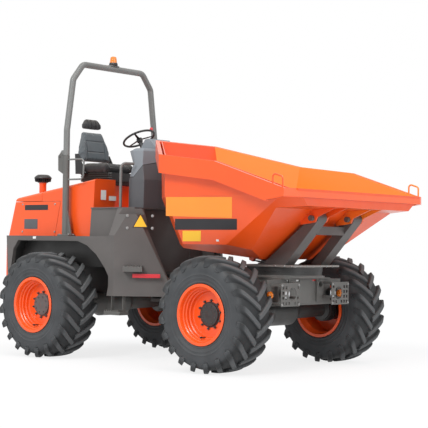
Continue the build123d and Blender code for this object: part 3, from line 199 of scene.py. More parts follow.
def surface_finish(name, colour, roughness, cloud=0.1, cloud_scale=2.2, dust=0.12, dust_colour=(150, 135, 115),
                   grain=0.00015, grain_scale=700, edge=0.25, edge_radius=0.004, wander=0.08, **shader):
    """Colour clouds, dust and painted light on top, wandering roughness, fine grain and painted edge highlights."""
    mat = bpy.data.materials.new(name)
    mat.use_nodes = True
    tree = mat.node_tree
    skin = tree.nodes["Principled BSDF"]
    place = node(tree, "ShaderNodeTexCoord").outputs["Object"]
    slow = node(tree, "ShaderNodeTexNoise", {"Vector": place, "Scale": cloud_scale, "Detail": 5.0}).outputs["Fac"]
    fine = node(tree, "ShaderNodeTexNoise", {"Vector": place, "Scale": grain_scale, "Detail": 2.0}).outputs["Fac"]
    dark = tuple(c * (1 - cloud) for c in colour[:3]) + (1,)
    light = tuple(min(1, c * (1 + cloud)) for c in colour[:3]) + (1,)
    paint = mixed(tree, span(tree, slow, 0, 1), dark, light)
    rounded = node(tree, "ShaderNodeBevel", {"Radius": edge_radius}, samples=4).outputs["Normal"]
    facing = node(tree, "ShaderNodeNewGeometry").outputs["Normal"]
    same = node(tree, "ShaderNodeVectorMath", {0: rounded, 1: facing}, operation="DOT_PRODUCT").outputs["Value"]
    # painted highlight: the sharp edges that the Bevel node finds are mixed lighter
    edge_highlight = node(tree, "ShaderNodeMapRange", {"Value": same, "From Min": 0.995, "From Max": 0.8,
                                             "To Min": 0.0, "To Max": edge}).outputs["Result"]
    paint = mixed(tree, edge_highlight, paint, tuple(min(1, c * 1.5 + 0.12) for c in colour[:3]) + (1,))
    # faces that look up get a pale tint, part site dust and part painted light on the tops
    height = node(tree, "ShaderNodeSeparateXYZ", {"Vector": facing}).outputs["Z"]
    patches = node(tree, "ShaderNodeTexNoise", {"Vector": place, "Scale": 6.5, "Detail": 6.0}).outputs["Fac"]
    upward = node(tree, "ShaderNodeMapRange", {"Value": height, "From Min": 0.1, "From Max": 1.0}).outputs["Result"]
    dust_and_top_light_share = node(tree, "ShaderNodeMath", {0: upward, 1: span(tree, patches, dust * 0.3, dust)},
                   operation="MULTIPLY").outputs[0]
    paint = mixed(tree, dust_and_top_light_share, paint, rgb(*dust_colour))
    tree.links.new(paint, skin.inputs["Base Color"])
    tree.links.new(span(tree, patches, roughness - wander, roughness + wander), skin.inputs["Roughness"])
    bump = node(tree, "ShaderNodeBump", {"Height": fine, "Distance": grain, "Strength": 0.6, "Normal": rounded})
    tree.links.new(bump.outputs["Normal"], skin.inputs["Normal"])
    for socket, value in shader.items():
        skin.inputs[socket.replace("_", " ").title()].default_value = value
    return mat


# the pale orange tint on faces that look up is painted light on the tops, not dust
ORANGE = dict(colour=rgb(234, 82, 18), roughness=0.36, cloud=0.06, dust=0.14, dust_colour=(252, 172, 112),
              Coat_weight=0.25, Coat_roughness=0.18)
orange_paint = surface_finish("orange_paint", **ORANGE)
grey_paint = surface_finish("dark_grey_paint", rgb(84, 80, 78), 0.5, cloud=0.14, dust=0.3,
                            dust_colour=(150, 148, 144), Coat_weight=0.08)
frame_paint = surface_finish("frame_grey_paint", rgb(92, 91, 88), 0.46, cloud=0.16, dust=0.35,
                             dust_colour=(165, 163, 158))
post_paint = surface_finish("post_grey_paint", rgb(112, 113, 111), 0.42, cloud=0.1, dust=0.15, Coat_weight=0.1)
console_plastic = surface_finish("console_plastic", rgb(84, 85, 88), 0.6, cloud=0.06, grain=0.0006,
                                 grain_scale=420, edge=0.3, edge_radius=0.008)
black_plastic = surface_finish("black_plastic", rgb(32, 32, 33), 0.45, cloud=0.1, grain=0.0003, edge=0.15)
tyre_rubber = surface_finish("tyre_rubber", rgb(58, 60, 62), 0.78, cloud=0.22, cloud_scale=5, dust=0.45,
                             dust_colour=(112, 112, 108), grain=0.0009, grain_scale=240, edge=0.35, edge_radius=0.006)
engine_iron = surface_finish("engine_iron", rgb(88, 90, 92), 0.6, cloud=0.25, grain=0.001, grain_scale=160,
                             Metallic=0.4)
cylinder_paint = surface_finish("cylinder_paint", rgb(58, 60, 61), 0.4, cloud=0.12, Coat_weight=0.15)
rod_chrome = surface_finish("rod_chrome", rgb(205, 207, 208), 0.14, cloud=0.03, dust=0.03, edge=0,
                            wander=0.03, Metallic=1.0)
bare_steel = surface_finish("bare_steel", rgb(150, 151, 150), 0.38, cloud=0.12, edge=0.3, Metallic=0.7)
amber_lens = surface_finish("amber_lens", rgb(244, 138, 24), 0.16, cloud=0.08, dust=0.04, edge=0.1,
                            Transmission_weight=0.25, Coat_weight=0.5)
red_lens = surface_finish("red_lens", rgb(190, 22, 20), 0.18, cloud=0.08, dust=0.05, edge=0.1, Coat_weight=0.5)
skip_paint = surface_finish("skip_paint", **ORANGE)
red_paint = surface_finish("red_paint", rgb(205, 30, 44), 0.35, cloud=0.08, Coat_weight=0.3)
WEAVE = dict(roughness=0.85, cloud_scale=9, dust=0.2, grain=0.0012, grain_scale=330, edge=0.0)
seat_cloth = surface_finish("seat_fabric", rgb(80, 87, 91), cloud=0.1, Sheen_weight=0.3, **WEAVE)
cushion_cloth = surface_finish("cushion_fabric", rgb(34, 36, 38), cloud=0.12, Sheen_weight=0.25, **WEAVE)
reflector = surface_finish("lamp_reflector", rgb(236, 239, 241), 0.2, cloud=0.05, dust=0.02, edge=0.05, Metallic=0.3)
label_orange = surface_finish("label_orange", rgb(249, 148, 44), 0.4, cloud=0.04, edge=0.0)
label_yellow = surface_finish("label_yellow", rgb(246, 190, 40), 0.4, cloud=0.04, edge=0.0)
label_black = surface_finish("label_black", rgb(30, 29, 34), 0.42, cloud=0.08, edge=0.0)
label_white = surface_finish("label_white", rgb(226, 228, 226), 0.42, cloud=0.04, edge=0.0)
print("finishes made:", len(bpy.data.materials))

# %% [markdown]
# ## Colours that change over one piece
# Some pieces change colour with no joint between them: the moulded dash has a light top over a
# dark cover, the wheel arches are near-black inside, and the skip's inner walls are paler with
# painted light. Other masks paint shade in the tyre grooves and under the skip carrier, and light on
# the tread tops. Each mask is a product of soft steps over the Object coordinates or the facing, laid
# over the colour that is there.

# %% Masks over a finish
def over(mat, values, colour, strength=1.0):
    """Lay a colour over a finish where the product of soft steps is 1."""
    tree = mat.node_tree
    skin = tree.nodes["Principled BSDF"]
    under = skin.inputs["Base Color"].links[0].from_socket
    share = node(tree, "ShaderNodeValue").outputs[0]
    share.default_value = strength
    for value, low, high in values(tree):
        step = node(tree, "ShaderNodeMapRange", {"Value": value, "From Min": low, "From Max": high}).outputs["Result"]
        share = node(tree, "ShaderNodeMath", {0: share, 1: step}, operation="MULTIPLY").outputs[0]
    tree.links.new(mixed(tree, share, under, colour), skin.inputs["Base Color"])


def place_of(tree):
    """Object X, Y and Z."""
    return node(tree, "ShaderNodeSeparateXYZ", {"Vector": node(tree, "ShaderNodeTexCoord").outputs["Object"]}).outputs


def calc(tree, kind, *values):
    """One sum on values or links."""
    return node(tree, "ShaderNodeMath", dict(enumerate(values)), operation=kind).outputs[0]


def arch_steps(tree):
    """Inside a rear wheel arch."""
    x, y, z = place_of(tree)
    return ((calc(tree, "ABSOLUTE", y), 0.806, 0.796), (z, 1.31, 1.29), (x, -0.41, -0.44))


def painted_light_inside_steps(tree):
    """A wall that looks at the middle of the machine, where painted light goes."""
    y = place_of(tree)[1]
    facing = node(tree, "ShaderNodeNewGeometry").outputs["Normal"]
    face = node(tree, "ShaderNodeSeparateXYZ", {"Vector": facing}).outputs
    return ((calc(tree, "MULTIPLY", calc(tree, "MULTIPLY", face["Y"], y), -1.0), 0.04, 0.3),)


def seam_height(tree):
    """Height above the dash's stepped seam."""
    x, _, z = place_of(tree)
    rise = node(tree, "ShaderNodeMapRange", {"Value": x, "From Min": -0.46, "From Max": -0.30, "To Min": 2.02,
                                             "To Max": 2.19}).outputs["Result"]
    return calc(tree, "SUBTRACT", z, rise)


def radius_from_axle(tree):
    """Distance from the nearer axle."""
    x, _, z = place_of(tree)
    along = calc(tree, "SUBTRACT", calc(tree, "ABSOLUTE", x), AXLE_X)
    up = calc(tree, "SUBTRACT", z, WHEEL_RADIUS)
    return calc(tree, "SQRT", calc(tree, "ADD", calc(tree, "MULTIPLY", along, along), calc(tree, "MULTIPLY", up, up)))


def ahead_steps(*steps):
    """Soft steps over Object X or Z, each as (axis, low, high)."""
    def build(tree):
        x, _, z = place_of(tree)
        return [({"x": x, "z": z}[axis], low, high) for axis, low, high in steps]
    return build


# the grey faces inside the rear body and its wheel arches, below 1.3 m, are made near-black
over(grey_paint, arch_steps, rgb(20, 20, 20), 0.92)
# painted light: the skip's inner walls are laid over with a pale yellow-orange
over(skip_paint, painted_light_inside_steps, rgb(255, 152, 52), 0.7)
over(console_plastic, lambda tree: ((seam_height(tree), -0.002, 0.002),), rgb(126, 131, 136))
over(console_plastic, lambda tree: ((calc(tree, "ABSOLUTE", seam_height(tree)), 0.006, 0.003),), rgb(24, 24, 25))
# painted shade: the casing in the grooves between the tread bars is darkened
over(tyre_rubber, lambda tree: ((radius_from_axle(tree), 0.505, 0.53), (radius_from_axle(tree), 0.572, 0.556)),
     rgb(30, 31, 32), 0.7)
# painted light: the tops of the tread bars are lightened
over(tyre_rubber, lambda tree: ((radius_from_axle(tree), 0.566, 0.582),), rgb(96, 98, 99), 0.55)
over(grey_paint, ahead_steps(("x", 0.85, 0.9), ("z", 1.058, 1.062), ("z", 1.084, 1.080)), rgb(160, 158, 152), 0.6)
over(frame_paint, ahead_steps(("x", 0.9, 0.95), ("z", 0.672, 0.655)), rgb(34, 34, 34), 0.85)
# painted shade under the skip carrier: the chassis top beneath it is darkened
over(frame_paint, ahead_steps(("x", 0.7, 0.75), ("z", 0.975, 0.98)), rgb(30, 30, 30), 0.85)
# painted shade: the carrier below its table is darkened
over(grey_paint, ahead_steps(("x", 0.85, 0.9), ("z", 1.058, 1.05)), rgb(32, 32, 32), 0.85)
print("masks laid over five finishes")

# %% [markdown]
# ## Finishes for the frame's own pieces
# A frame piece whose shape is right only needs its paint. Each one is listed once, under its finish.

# %% Paint the frame
PAINT_PLAN = {
    orange_paint: ("engine_housing", "engine_panels", "hood", "rear_bumper"),
    skip_paint: ("skip_shell", "lifting_loops", "skip_brackets"),
    red_paint: ("lock_bar",),
    grey_paint: ("side_body_right", "side_body_left", "skip_carrier", "rear_chassis", "deck", "rear_grille"),
    frame_paint: ("front_chassis", "front_axle", "rear_axle", "lamp_guards", "side_steps", "rops_posts"),
    post_paint: ("rops_hoop", "grab_rails"),
    console_plastic: ("console",),
    black_plastic: ("seat_base",),
    engine_iron: ("engine_block",),
    cylinder_paint: ("tip_barrel", "tip_stage", "steer_barrel_left", "steer_barrel_right"),
    rod_chrome: ("tip_rod", "steer_rod_left", "steer_rod_right"),
    amber_lens: ("indicators",),
    red_lens: ("tail_lamps",),
}


def coat(thing, finish):
    """Give a whole piece one finish."""
    thing.data.materials.clear()
    thing.data.materials.append(finish)


for finish, names in PAINT_PLAN.items():
    for name in names:
        coat(nodes[name], finish)
print("frame pieces painted:", sum(len(n) for n in PAINT_PLAN.values()))

# %% [markdown]
# ## Helpers for new pieces
# Most new pieces are either turned on a lathe, like a rim, or cut from plate, like a label. Both
# helpers write vertices straight into a mesh at their final place, so the object itself stays at
# the origin, unturned, and its pattern cannot slide.

# %% Mesh helpers
def piece(name, verts, faces, finish, body, sharp=35):
    """A finished mesh piece that rides on a body."""
    mesh = bpy.data.meshes.new(name)
    mesh.from_pydata([tuple(v) for v in verts], [], faces)
    work = bmesh.new()
    work.from_mesh(mesh)
    bmesh.ops.remove_doubles(work, verts=work.verts, dist=1e-6)
    bmesh.ops.recalc_face_normals(work, faces=work.faces)
    work.to_mesh(mesh)
    work.free()
    mesh.polygons.foreach_set("use_smooth", [True] * len(mesh.polygons))
    mesh.set_sharp_from_angle(angle=radians(sharp))
    made = bpy.data.objects.new(name, mesh)
    bpy.context.scene.collection.objects.link(made)
    made.data.materials.append(finish)
    if body:
        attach(made, body)
    return made


def lathe(outline, place, axis="Y", flip=1, steps=96):
    """Turn a closed outline of (along, radius) points about an axis through a place."""
    verts, faces = [], []
    count = len(outline)
    for i in range(steps):
        angle = 2 * pi * i / steps
        for along, radius in outline:
            a, b = radius * cos(angle), radius * sin(angle)
            point = {"Y": (a, flip * along, b), "X": (flip * along, a, b), "Z": (a, b, flip * along)}[axis]
            verts.append(Vector(place) + Vector(point))
    for i in range(steps):
        for k in range(count):
            here, beside = i * count + k, i * count + (k + 1) % count
            opposite, beyond = ((i + 1) % steps) * count + (k + 1) % count, ((i + 1) % steps) * count + k
            faces.append((here, beside, opposite, beyond))
    return verts, [f for f in faces if len({tuple(verts[i]) for i in f}) > 2]


def slab(corners, depth, out):
    """A flat plate on given corners, lifted by its depth along a direction."""
    base = [Vector(c) for c in corners]
    top = [c + Vector(out).normalized() * depth for c in base]
    n = len(base)
    sides = [(i, (i + 1) % n, n + (i + 1) % n, n + i) for i in range(n)]
    return base + top, [tuple(range(n))[::-1], tuple(range(n, 2 * n)), *sides]


print("helpers ready")

# %% [markdown]
# ## Copies round a ring, with Geometry Nodes
# Lugs, studs and flange bolts repeat round an axle. One small tree does them all: it turns copies of
# its input about the Y axis. The copies become real geometry at the end, because instances would be
# lost when the model is exported, and the result is kept as a plain mesh.

# %% The ring tree
def new_tree(name, **inputs):
    """An empty Geometry Nodes tree with named inputs between its geometry and its finish."""
    tree = bpy.data.node_groups.new(name, "GeometryNodeTree")
    for title, kind in {"Geometry": "Geometry", **inputs, "Finish": "Material"}.items():
        tree.interface.new_socket(title.replace("_", " "), in_out="INPUT", socket_type=f"NodeSocket{kind}")
    tree.interface.new_socket("Geometry", in_out="OUTPUT", socket_type="NodeSocketGeometry")
    return tree, tree.nodes.new("NodeGroupInput"), tree.nodes.new("NodeGroupOutput")


def real_copies(tree, points, shape, turned, source, result):
    """The end of a tree: copies on points, made real and given their finish."""
    copies = node(tree, "GeometryNodeInstanceOnPoints", {"Points": points, "Instance": shape, "Rotation": turned})
    real = node(tree, "GeometryNodeRealizeInstances", {"Geometry": copies.outputs[0]})
    coated = node(tree, "GeometryNodeSetMaterial", {"Geometry": real.outputs[0],
                                                   "Material": source.outputs["Finish"]})
    tree.links.new(coated.outputs[0], result.inputs[0])


def ring_tree():
    """Geometry Nodes that turn copies of a shape about Y."""
    tree, source, result = new_tree("copies_round_a_ring", Count="Int", Start_Turn="Float")
    points = node(tree, "GeometryNodePoints", {"Count": source.outputs["Count"]})
    index = node(tree, "GeometryNodeInputIndex").outputs[0]
    step = node(tree, "ShaderNodeMath", {0: 2 * pi, 1: source.outputs["Count"]}, operation="DIVIDE").outputs[0]
    angle = node(tree, "ShaderNodeMath", {0: index, 1: step, 2: source.outputs["Start Turn"]},
                 operation="MULTIPLY_ADD").outputs[0]
    spin = node(tree, "ShaderNodeCombineXYZ", {"Y": angle}).outputs[0]
    real_copies(tree, points.outputs[0], source.outputs["Geometry"], spin, source, result)
    return tree


RING = ring_tree()


def run_tree(tree, name, verts, faces, values, finish):
    """Feed a mesh through a tree and keep the result as a plain mesh."""
    mesh = bpy.data.meshes.new(name)
    mesh.from_pydata([tuple(v) for v in verts], [], faces)
    carrier = bpy.data.objects.new(name, mesh)
    bpy.context.scene.collection.objects.link(carrier)
    change = carrier.modifiers.new("copies", "NODES")
    change.node_group = tree
    sockets = {s.name: s.identifier for s in tree.interface.items_tree if s.in_out == "INPUT"}
    for key, value in {**values, "Finish": finish}.items():
        change[sockets[key]] = value
    bpy.context.view_layer.update()
    evaluated = carrier.evaluated_get(bpy.context.evaluated_depsgraph_get())
    plain = bpy.data.meshes.new_from_object(evaluated)
    carrier.modifiers.remove(change)
    bpy.data.objects.remove(carrier)
    return plain


def verts_and_faces(mesh):
    """The plain lists of a mesh."""
    return [v.co.copy() for v in mesh.vertices], [tuple(p.vertices) for p in mesh.polygons]


def placed(verts, place, flip=1):
    """Points moved to a place, mirrored across Y first if flip is -1."""
    return [Vector((v[0], flip * v[1], v[2])) + Vector(place) for v in verts]


def ring_of(shape, count, start=0.0, finish=None):
    """Copies of a (verts, faces) shape round Y, as plain lists."""
    return verts_and_faces(run_tree(RING, "ring", *shape, {"Count": count, "Start Turn": start}, finish))


def merged(*shapes):
    """Several (verts, faces) shapes as one."""
    verts, faces = [], []
    for more, rings in shapes:
        faces += [tuple(i + len(verts) for i in ring) for ring in rings]
        verts += list(more)
    return verts, faces


print("ring tree with", len(RING.nodes), "nodes")

# %% [markdown]
# ## Tyres
# A dumper tyre is a smooth casing that carries curved tread bars in an arrow pattern: the bars meet
# near the middle, sweep back to the shoulder and run out as thin ridges down the side wall. The
# casing is turned on the lathe with its bead, its rim guard and shallow rings. One bar is drawn
# station by station, and the ring tree repeats it on each side, half a step apart.

# %% One casing and its tread
HALF_WIDTH, LUGS = 0.250, 20
CASING = (
    (0.0, 0.553), (0.07, 0.552), (0.14, 0.547), (0.19, 0.533), (0.218, 0.51), (0.231, 0.482), (0.236, 0.452),
    (0.238, 0.425), (0.237, 0.405), (0.2395, 0.401), (0.2385, 0.396), (0.235, 0.39), (0.233, 0.37), (0.2345, 0.366),
    (0.2325, 0.361), (0.228, 0.345), (0.224, 0.335), (0.2265, 0.33), (0.2275, 0.322), (0.224, 0.314),
    (0.214, 0.309), (0.208, 0.298), (0.206, 0.2865))
# share of the half width, turn in degrees, depth of the top below the tread, of the foot, width
BAR = (
    (-0.04, -0.8, 3, 38, 50), (0.06, 0.8, 0, 40, 56), (0.2, 3.4, 0, 41, 56), (0.4, 7.2, 0, 44, 56),
    (0.58, 10.8, 2, 50, 58), (0.72, 13.8, 5, 58, 60), (0.84, 16.3, 12, 70, 60), (0.92, 18.0, 26, 84, 56),
    (0.958, 18.9, 44, 98, 46), (0.966, 19.4, 66, 108, 32), (0.952, 19.8, 86, 116, 20))


def tread_bar(hand):
    """One tread bar with sloping flanks, on the wheel's own axis."""
    verts, faces = [], []
    for share, turn, crown, foot, width in BAR:
        top, low = WHEEL_RADIUS - crown / 1000, WHEEL_RADIUS - foot / 1000
        rows = ((low, 0.62), (top - 0.008, 0.53), (top, 0.44), (top, -0.44), (top - 0.008, -0.53), (low, -0.62))
        for radius, edge in rows:
            angle = edge * width / 1000 / radius - radians(turn)
            out = hand * (share * HALF_WIDTH - (0.004 if share > 0.9 and radius < top - 0.01 else 0))
            verts.append(Vector((radius * sin(angle), out, radius * cos(angle))))
    n = 6
    for k in range(len(BAR) - 1):
        faces += [(k * n + i, k * n + (i + 1) % n, (k + 1) * n + (i + 1) % n, (k + 1) * n + i) for i in range(n)]
    faces += [tuple(range(n))[::-1], tuple(range((len(BAR) - 1) * n, len(BAR) * n))]
    return verts, faces


ring_outline = [*CASING, *[(-a, r) for a, r in reversed(CASING[1:])]]
casing = lathe(ring_outline, (0, 0, 0), steps=120)
tread = [ring_of(tread_bar(hand), LUGS, start, tyre_rubber) for hand, start in ((-1, 0.0), (1, pi / LUGS))]
tyre_shape = merged(casing, *tread)
print("tyre faces:", len(tyre_shape[1]))

# %% [markdown]
# ## Rims
# The rim is deep-dished: a bright flange, three steps down the barrel, then a disc that is bolted to
# the grey hub by a ring of studs. Turning it on the lathe keeps the steps crisp, and the studs come
# from the ring tree. A small valve stands low in the barrel.

# %% One rim with its hub
SEAT, FLANGE, EDGE, DISC = 0.2857, 0.306, 0.222, 0.074
RIM = (
    (EDGE, FLANGE), (EDGE + 0.006, FLANGE + 0.0015), (EDGE + 0.0098, FLANGE - 0.001), (EDGE + 0.01, SEAT - 0.008),
    (EDGE + 0.004, SEAT - 0.012), (0.186, SEAT - 0.016), (0.178, SEAT - 0.026), (0.156, SEAT - 0.03), (0.148, 0.246),
    (0.118, 0.243), (0.112, 0.232), (DISC + 0.012, 0.23), (DISC + 0.002, 0.222), (DISC, 0.214), (DISC, 0.205),
    (DISC, 0.113), (DISC - 0.016, 0.113), (DISC - 0.018, 0.216), (DISC - 0.04, 0.25), (-0.15, 0.25),
    (-0.18, SEAT - 0.014), (-EDGE - 0.01, SEAT - 0.01), (-EDGE - 0.01, FLANGE), (-EDGE, FLANGE),
    (-EDGE + 0.004, SEAT), (-0.17, SEAT), (-0.14, 0.262), (0.138, 0.262), (0.16, SEAT), (EDGE - 0.004, SEAT))
HUB = (
    (0.012, 0.0), (0.012, 0.111), (DISC - 0.002, 0.111), (DISC + 0.001, 0.128), (DISC + 0.006, 0.128),
    (DISC + 0.008, 0.118), (0.094, 0.1175), (0.099, 0.115), (0.102, 0.108), (0.102, 0.066), (0.1005, 0.062),
    (0.1005, 0.032), (0.102, 0.028), (0.102, 0.0))
STUD_CIRCLE, HUB_BOLT_CIRCLE = 0.142, 0.088


def hexagon(y0, y1, radius, x=0.0, z=0.0, sides=6):
    """A nut or stud that lies along Y."""
    ring = [(x + radius * cos(2 * pi * i / sides), z + radius * sin(2 * pi * i / sides)) for i in range(sides)]
    verts = [Vector((a, y, b)) for y, grow in ((y0, 1), (y1 - 0.003, 1), (y1, 0.82))
             for a, b in [((p - x) * grow + x, (q - z) * grow + z) for p, q in ring]]
    faces = [(k * sides + i, k * sides + (i + 1) % sides, (k + 1) * sides + (i + 1) % sides, (k + 1) * sides + i)
             for k in range(2) for i in range(sides)]
    return verts, [*faces, tuple(range(sides))[::-1], tuple(range(2 * sides, 3 * sides))]


rim_shape = merged(lathe(RIM, (0, 0, 0)))
hub_shape = lathe(HUB, (0, 0, 0))
stud = merged(hexagon(DISC, DISC + 0.012, 0.0135, z=STUD_CIRCLE),
              hexagon(DISC + 0.01, DISC + 0.026, 0.009, z=STUD_CIRCLE, sides=10))
stud_shape = ring_of(stud, 10, 0.12, cylinder_paint)
hub_bolts = ring_of(hexagon(0.1015, 0.107, 0.009, z=HUB_BOLT_CIRCLE), 8, 0.3, bare_steel)
valve_shape = merged(hexagon(0.10, 0.165, 0.006, x=-0.04, z=-0.226, sides=12),
                     hexagon(0.15, 0.178, 0.009, x=-0.04, z=-0.226, sides=12))
rim_pieces = (("hub", hub_shape, grey_paint), ("studs", merged(stud_shape, hub_bolts), cylinder_paint),
              ("valve", valve_shape, black_plastic))
for end in ("front", "rear"):
    for hand, flip in SIDES:
        low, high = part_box(f"rim_{end}_{hand}")
        centre = ((low.x + high.x) / 2, flip * HALF_TRACK, (low.z + high.z) / 2)
        body = f"wheel_{end}_{hand}"
        tread_verts = placed(tyre_shape[0], centre, flip)
        rubber = piece(f"tread_{end}_{hand}", tread_verts, tyre_shape[1], tyre_rubber, body, 42)
        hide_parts(f"tyre_{end}_{hand}")
        dish = piece(f"dish_{end}_{hand}", placed(rim_shape[0], centre, flip), rim_shape[1], orange_paint, body)
        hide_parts(f"rim_{end}_{hand}")
        for kind, (verts, faces), finish in rim_pieces:
            made = piece(f"{kind}_{end}_{hand}", placed(verts, centre, flip), faces, finish, body)
            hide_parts(f"rim_{end}_{hand}")
print("wheels dressed at", centre)

# %% [markdown]
# ## Seat pads, blown up as cloth
# A pad is a stuffed bag: its panels crown and its edges pull in. Each pad starts a little smaller
# than its space, is remeshed fine, and a cloth pressure swells it with a cap on how far a point may
# go. Bolsters and sewn channels are pressed in afterwards, because the remesh would lose them.

# %% Seat
EDGE_ROUND, VOXEL, PRESSURE, LAST_FRAME = 0.022, 0.006, 4, 20


def settle(thing):
    """Keep what the modifiers make, as a plain mesh."""
    bpy.context.view_layer.update()
    made = bpy.data.meshes.new_from_object(thing.evaluated_get(bpy.context.evaluated_depsgraph_get()))
    finish = thing.data.materials[0]
    thing.modifiers.clear()
    thing.data = made
    thing.data.materials.clear()
    thing.data.materials.append(finish)


def soft_pad(name, levels, matrix, press, finish, target, cap=0.014):
    """A stuffed pad from levels of (z, x0, x1, half width), swollen and then pressed along its seams."""
    verts = [Vector(c) for z, x0, x1, w in levels for c in ((x0, -w, z), (x1, -w, z), (x1, w, z), (x0, w, z))]
    top = 4 * (len(levels) - 1)
    faces = [(0, 3, 2, 1), (top, top + 1, top + 2, top + 3)] + [
        (4 * k + i, 4 * k + (i + 1) % 4, 4 * k + 4 + (i + 1) % 4, 4 * k + 4 + i)
        for k in range(len(levels) - 1) for i in range(4)]
    pad = piece(name, verts, faces, finish, "rear_frame", 80)
    round_off = pad.modifiers.new("round", "BEVEL")
    round_off.width, round_off.segments = EDGE_ROUND, 4
    fine = pad.modifiers.new("fine", "REMESH")
    fine.mode, fine.voxel_size = "VOXEL", VOXEL
    settle(pad)
    start = [v.co.copy() for v in pad.data.vertices]
    cloth = pad.modifiers.new("stuffing", "CLOTH")
    cloth.settings.use_pressure = True
    cloth.settings.uniform_pressure_force = PRESSURE
    cloth.settings.effector_weights.gravity = 0
    for frame_number in range(1, LAST_FRAME + 1):
        bpy.context.scene.frame_set(frame_number)
    settle(pad)
    bpy.context.scene.frame_set(1)
    for vertex, home in zip(pad.data.vertices, start):
        move = vertex.co - home
        if move.length > cap:
            vertex.co = home + move.normalized() * cap
    smooth = pad.modifiers.new("smooth", "SUBSURF")
    smooth.levels = 1
    settle(pad)
    for vertex in pad.data.vertices:
        vertex.co = matrix @ (vertex.co + Vector(press(vertex.co)))
    pad.data.polygons.foreach_set("use_smooth", [True] * len(pad.data.polygons))
    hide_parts(target)


def groove(value, centre, width, depth):
    """Depth of a rounded channel."""
    share = max(0.0, 1 - abs(value - centre) / width)
    return depth * share * share * (3 - 2 * share)


def cushion_press(point):
    """Two long seams beside the raised thigh bolsters, and one across."""
    if point.z < 0.05:
        return 0, 0, 0
    raised = 0.01 * max(0.0, min(1.0, (abs(point.y) - 0.15) / 0.04))
    across = groove(point.x, -0.02, 0.012, 0.008) if abs(point.y) < 0.15 else 0
    sunk = max(groove(abs(point.y), 0.155, 0.012, 0.011), across)
    return 0, 0, raised - 0.008 - sunk


def back_press(point):
    """Side bolsters that reach forwards, with sewn channels between."""
    if point.x < 0:
        return 0, 0, 0
    bolster = 0.012 * max(0.0, min(1.0, (abs(point.y) - 0.14) / 0.05))
    across = max(groove(point.z, z, 0.012, 0.009) for z in (0.13, 0.26)) if abs(point.y) < 0.14 else 0
    sunk = max(groove(abs(point.y), 0.145, 0.012, 0.011), across)
    return bolster - 0.01 - sunk, 0, 0


def head_press(point):
    """Four upright channels."""
    if point.x < 0:
        return 0, 0, 0
    return -max(groove(abs(point.y), 0.035, 0.01, 0.008), groove(abs(point.y), 0.09, 0.01, 0.008)), 0, 0


low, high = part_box("seat_cushion")
centre = (low + high) / 2
# levels of (height, rear, front, half width)
CUSHION = ((0.008, -0.205, 0.205, 0.228), (0.06, -0.21, 0.212, 0.236), (0.094, -0.195, 0.196, 0.222))
BACKREST = ((0.01, -0.042, 0.04, 0.236), (0.12, -0.042, 0.042, 0.238), (0.2, -0.042, 0.04, 0.222),
            (0.388, -0.032, 0.03, 0.158))
HEADREST = ((0.420, -0.036, 0.036, 0.138), (0.47, -0.038, 0.038, 0.134), (0.536, -0.026, 0.024, 0.094))
BACK_FOOT, BACK_LEAN = (-1.545, 0, 2.225), radians(-8)
flat = Matrix.Translation((centre.x, 0, low.z))
lean = Matrix.Translation(BACK_FOOT) @ Matrix.Rotation(BACK_LEAN, 4, "Y")
soft_pad("seat_cushion_pad", CUSHION, flat, cushion_press, cushion_cloth, "seat_cushion")
soft_pad("seat_back_pad", BACKREST, lean, back_press, seat_cloth, "seat_back")
soft_pad("headrest_pad", HEADREST, lean, head_press, cushion_cloth, "seat_headrest", 0.01)
print("pads swollen and pressed")

# %% [markdown]
# ## Bellows, hand wheel and small controls
# The seat stands on a folded rubber bellows. The hand wheel has a padded rim, three flat spokes, a
# cap and a spinner knob, and its column comes out of a soft boot.

# %% Controls
def lifted(shape, matrix):
    """A shape moved by a matrix."""
    return [matrix @ Vector(v) for v in shape[0]], shape[1]


FOLDS, CORNERS, FOOT_HEIGHT, FOLD_HEIGHT = 9, 6, 2.0, 0.0125
WIDE, NARROW, REAR_X, BEND_X, FRONT_X, BEND_Y = 0.203, 0.19, -1.545, -1.125, -1.1, 0.03
verts = []
for k in range(FOLDS):
    z, w = FOOT_HEIGHT + k * FOLD_HEIGHT, WIDE if k % 2 else NARROW
    rear, bend, front = REAR_X - w * 0.1, BEND_X + w * 0.1, FRONT_X + w * 0.1
    verts += [Vector((x, y, z)) for x, y in (
        (rear, -w), (bend, -w), (front, -w + BEND_Y), (front, w - BEND_Y), (bend, w), (rear, w))]
faces = [(CORNERS * k + i, CORNERS * k + (i + 1) % CORNERS, CORNERS * (k + 1) + (i + 1) % CORNERS,
          CORNERS * (k + 1) + i) for k in range(FOLDS - 1) for i in range(CORNERS)]
faces += [tuple(range(CORNERS))[::-1], tuple(range(CORNERS * (FOLDS - 1), CORNERS * FOLDS))]
piece("seat_bellows", verts, faces, black_plastic, "rear_frame")

HAND_WHEEL_PLACE, COLUMN_LEAN = (-0.812, 0, 2.495), radians(-28)
GRIP, WHEEL_ARM = 0.0125, 0.185
tilt = Matrix.Translation(HAND_WHEEL_PLACE) @ Matrix.Rotation(COLUMN_LEAN, 4, "Y")
tube = [(GRIP * cos(2 * pi * i / 12), WHEEL_ARM + GRIP * sin(2 * pi * i / 12)) for i in range(12)]
rim_ring = lathe(tube, (0, 0, 0), "Z", steps=72)
spoke = slab(((0.02, -0.016, -0.012), (0.178, -0.009, -0.001), (0.178, 0.009, -0.001), (0.02, 0.016, -0.012)),
             0.006, (0, 0, -1))
spokes = [lifted(spoke, Matrix.Rotation(radians(a), 4, "Z")) for a in (60, 180, 300)]
cap = lathe(((-0.046, 0.0), (-0.046, 0.033), (-0.004, 0.034), (0.0, 0.028), (0.002, 0.0)), (0, 0, 0), "Z", steps=40)
shaft = lathe(((-0.535, 0.0), (-0.535, 0.0235), (-0.04, 0.0235), (-0.04, 0.0)), (0, 0, 0), "Z", steps=32)
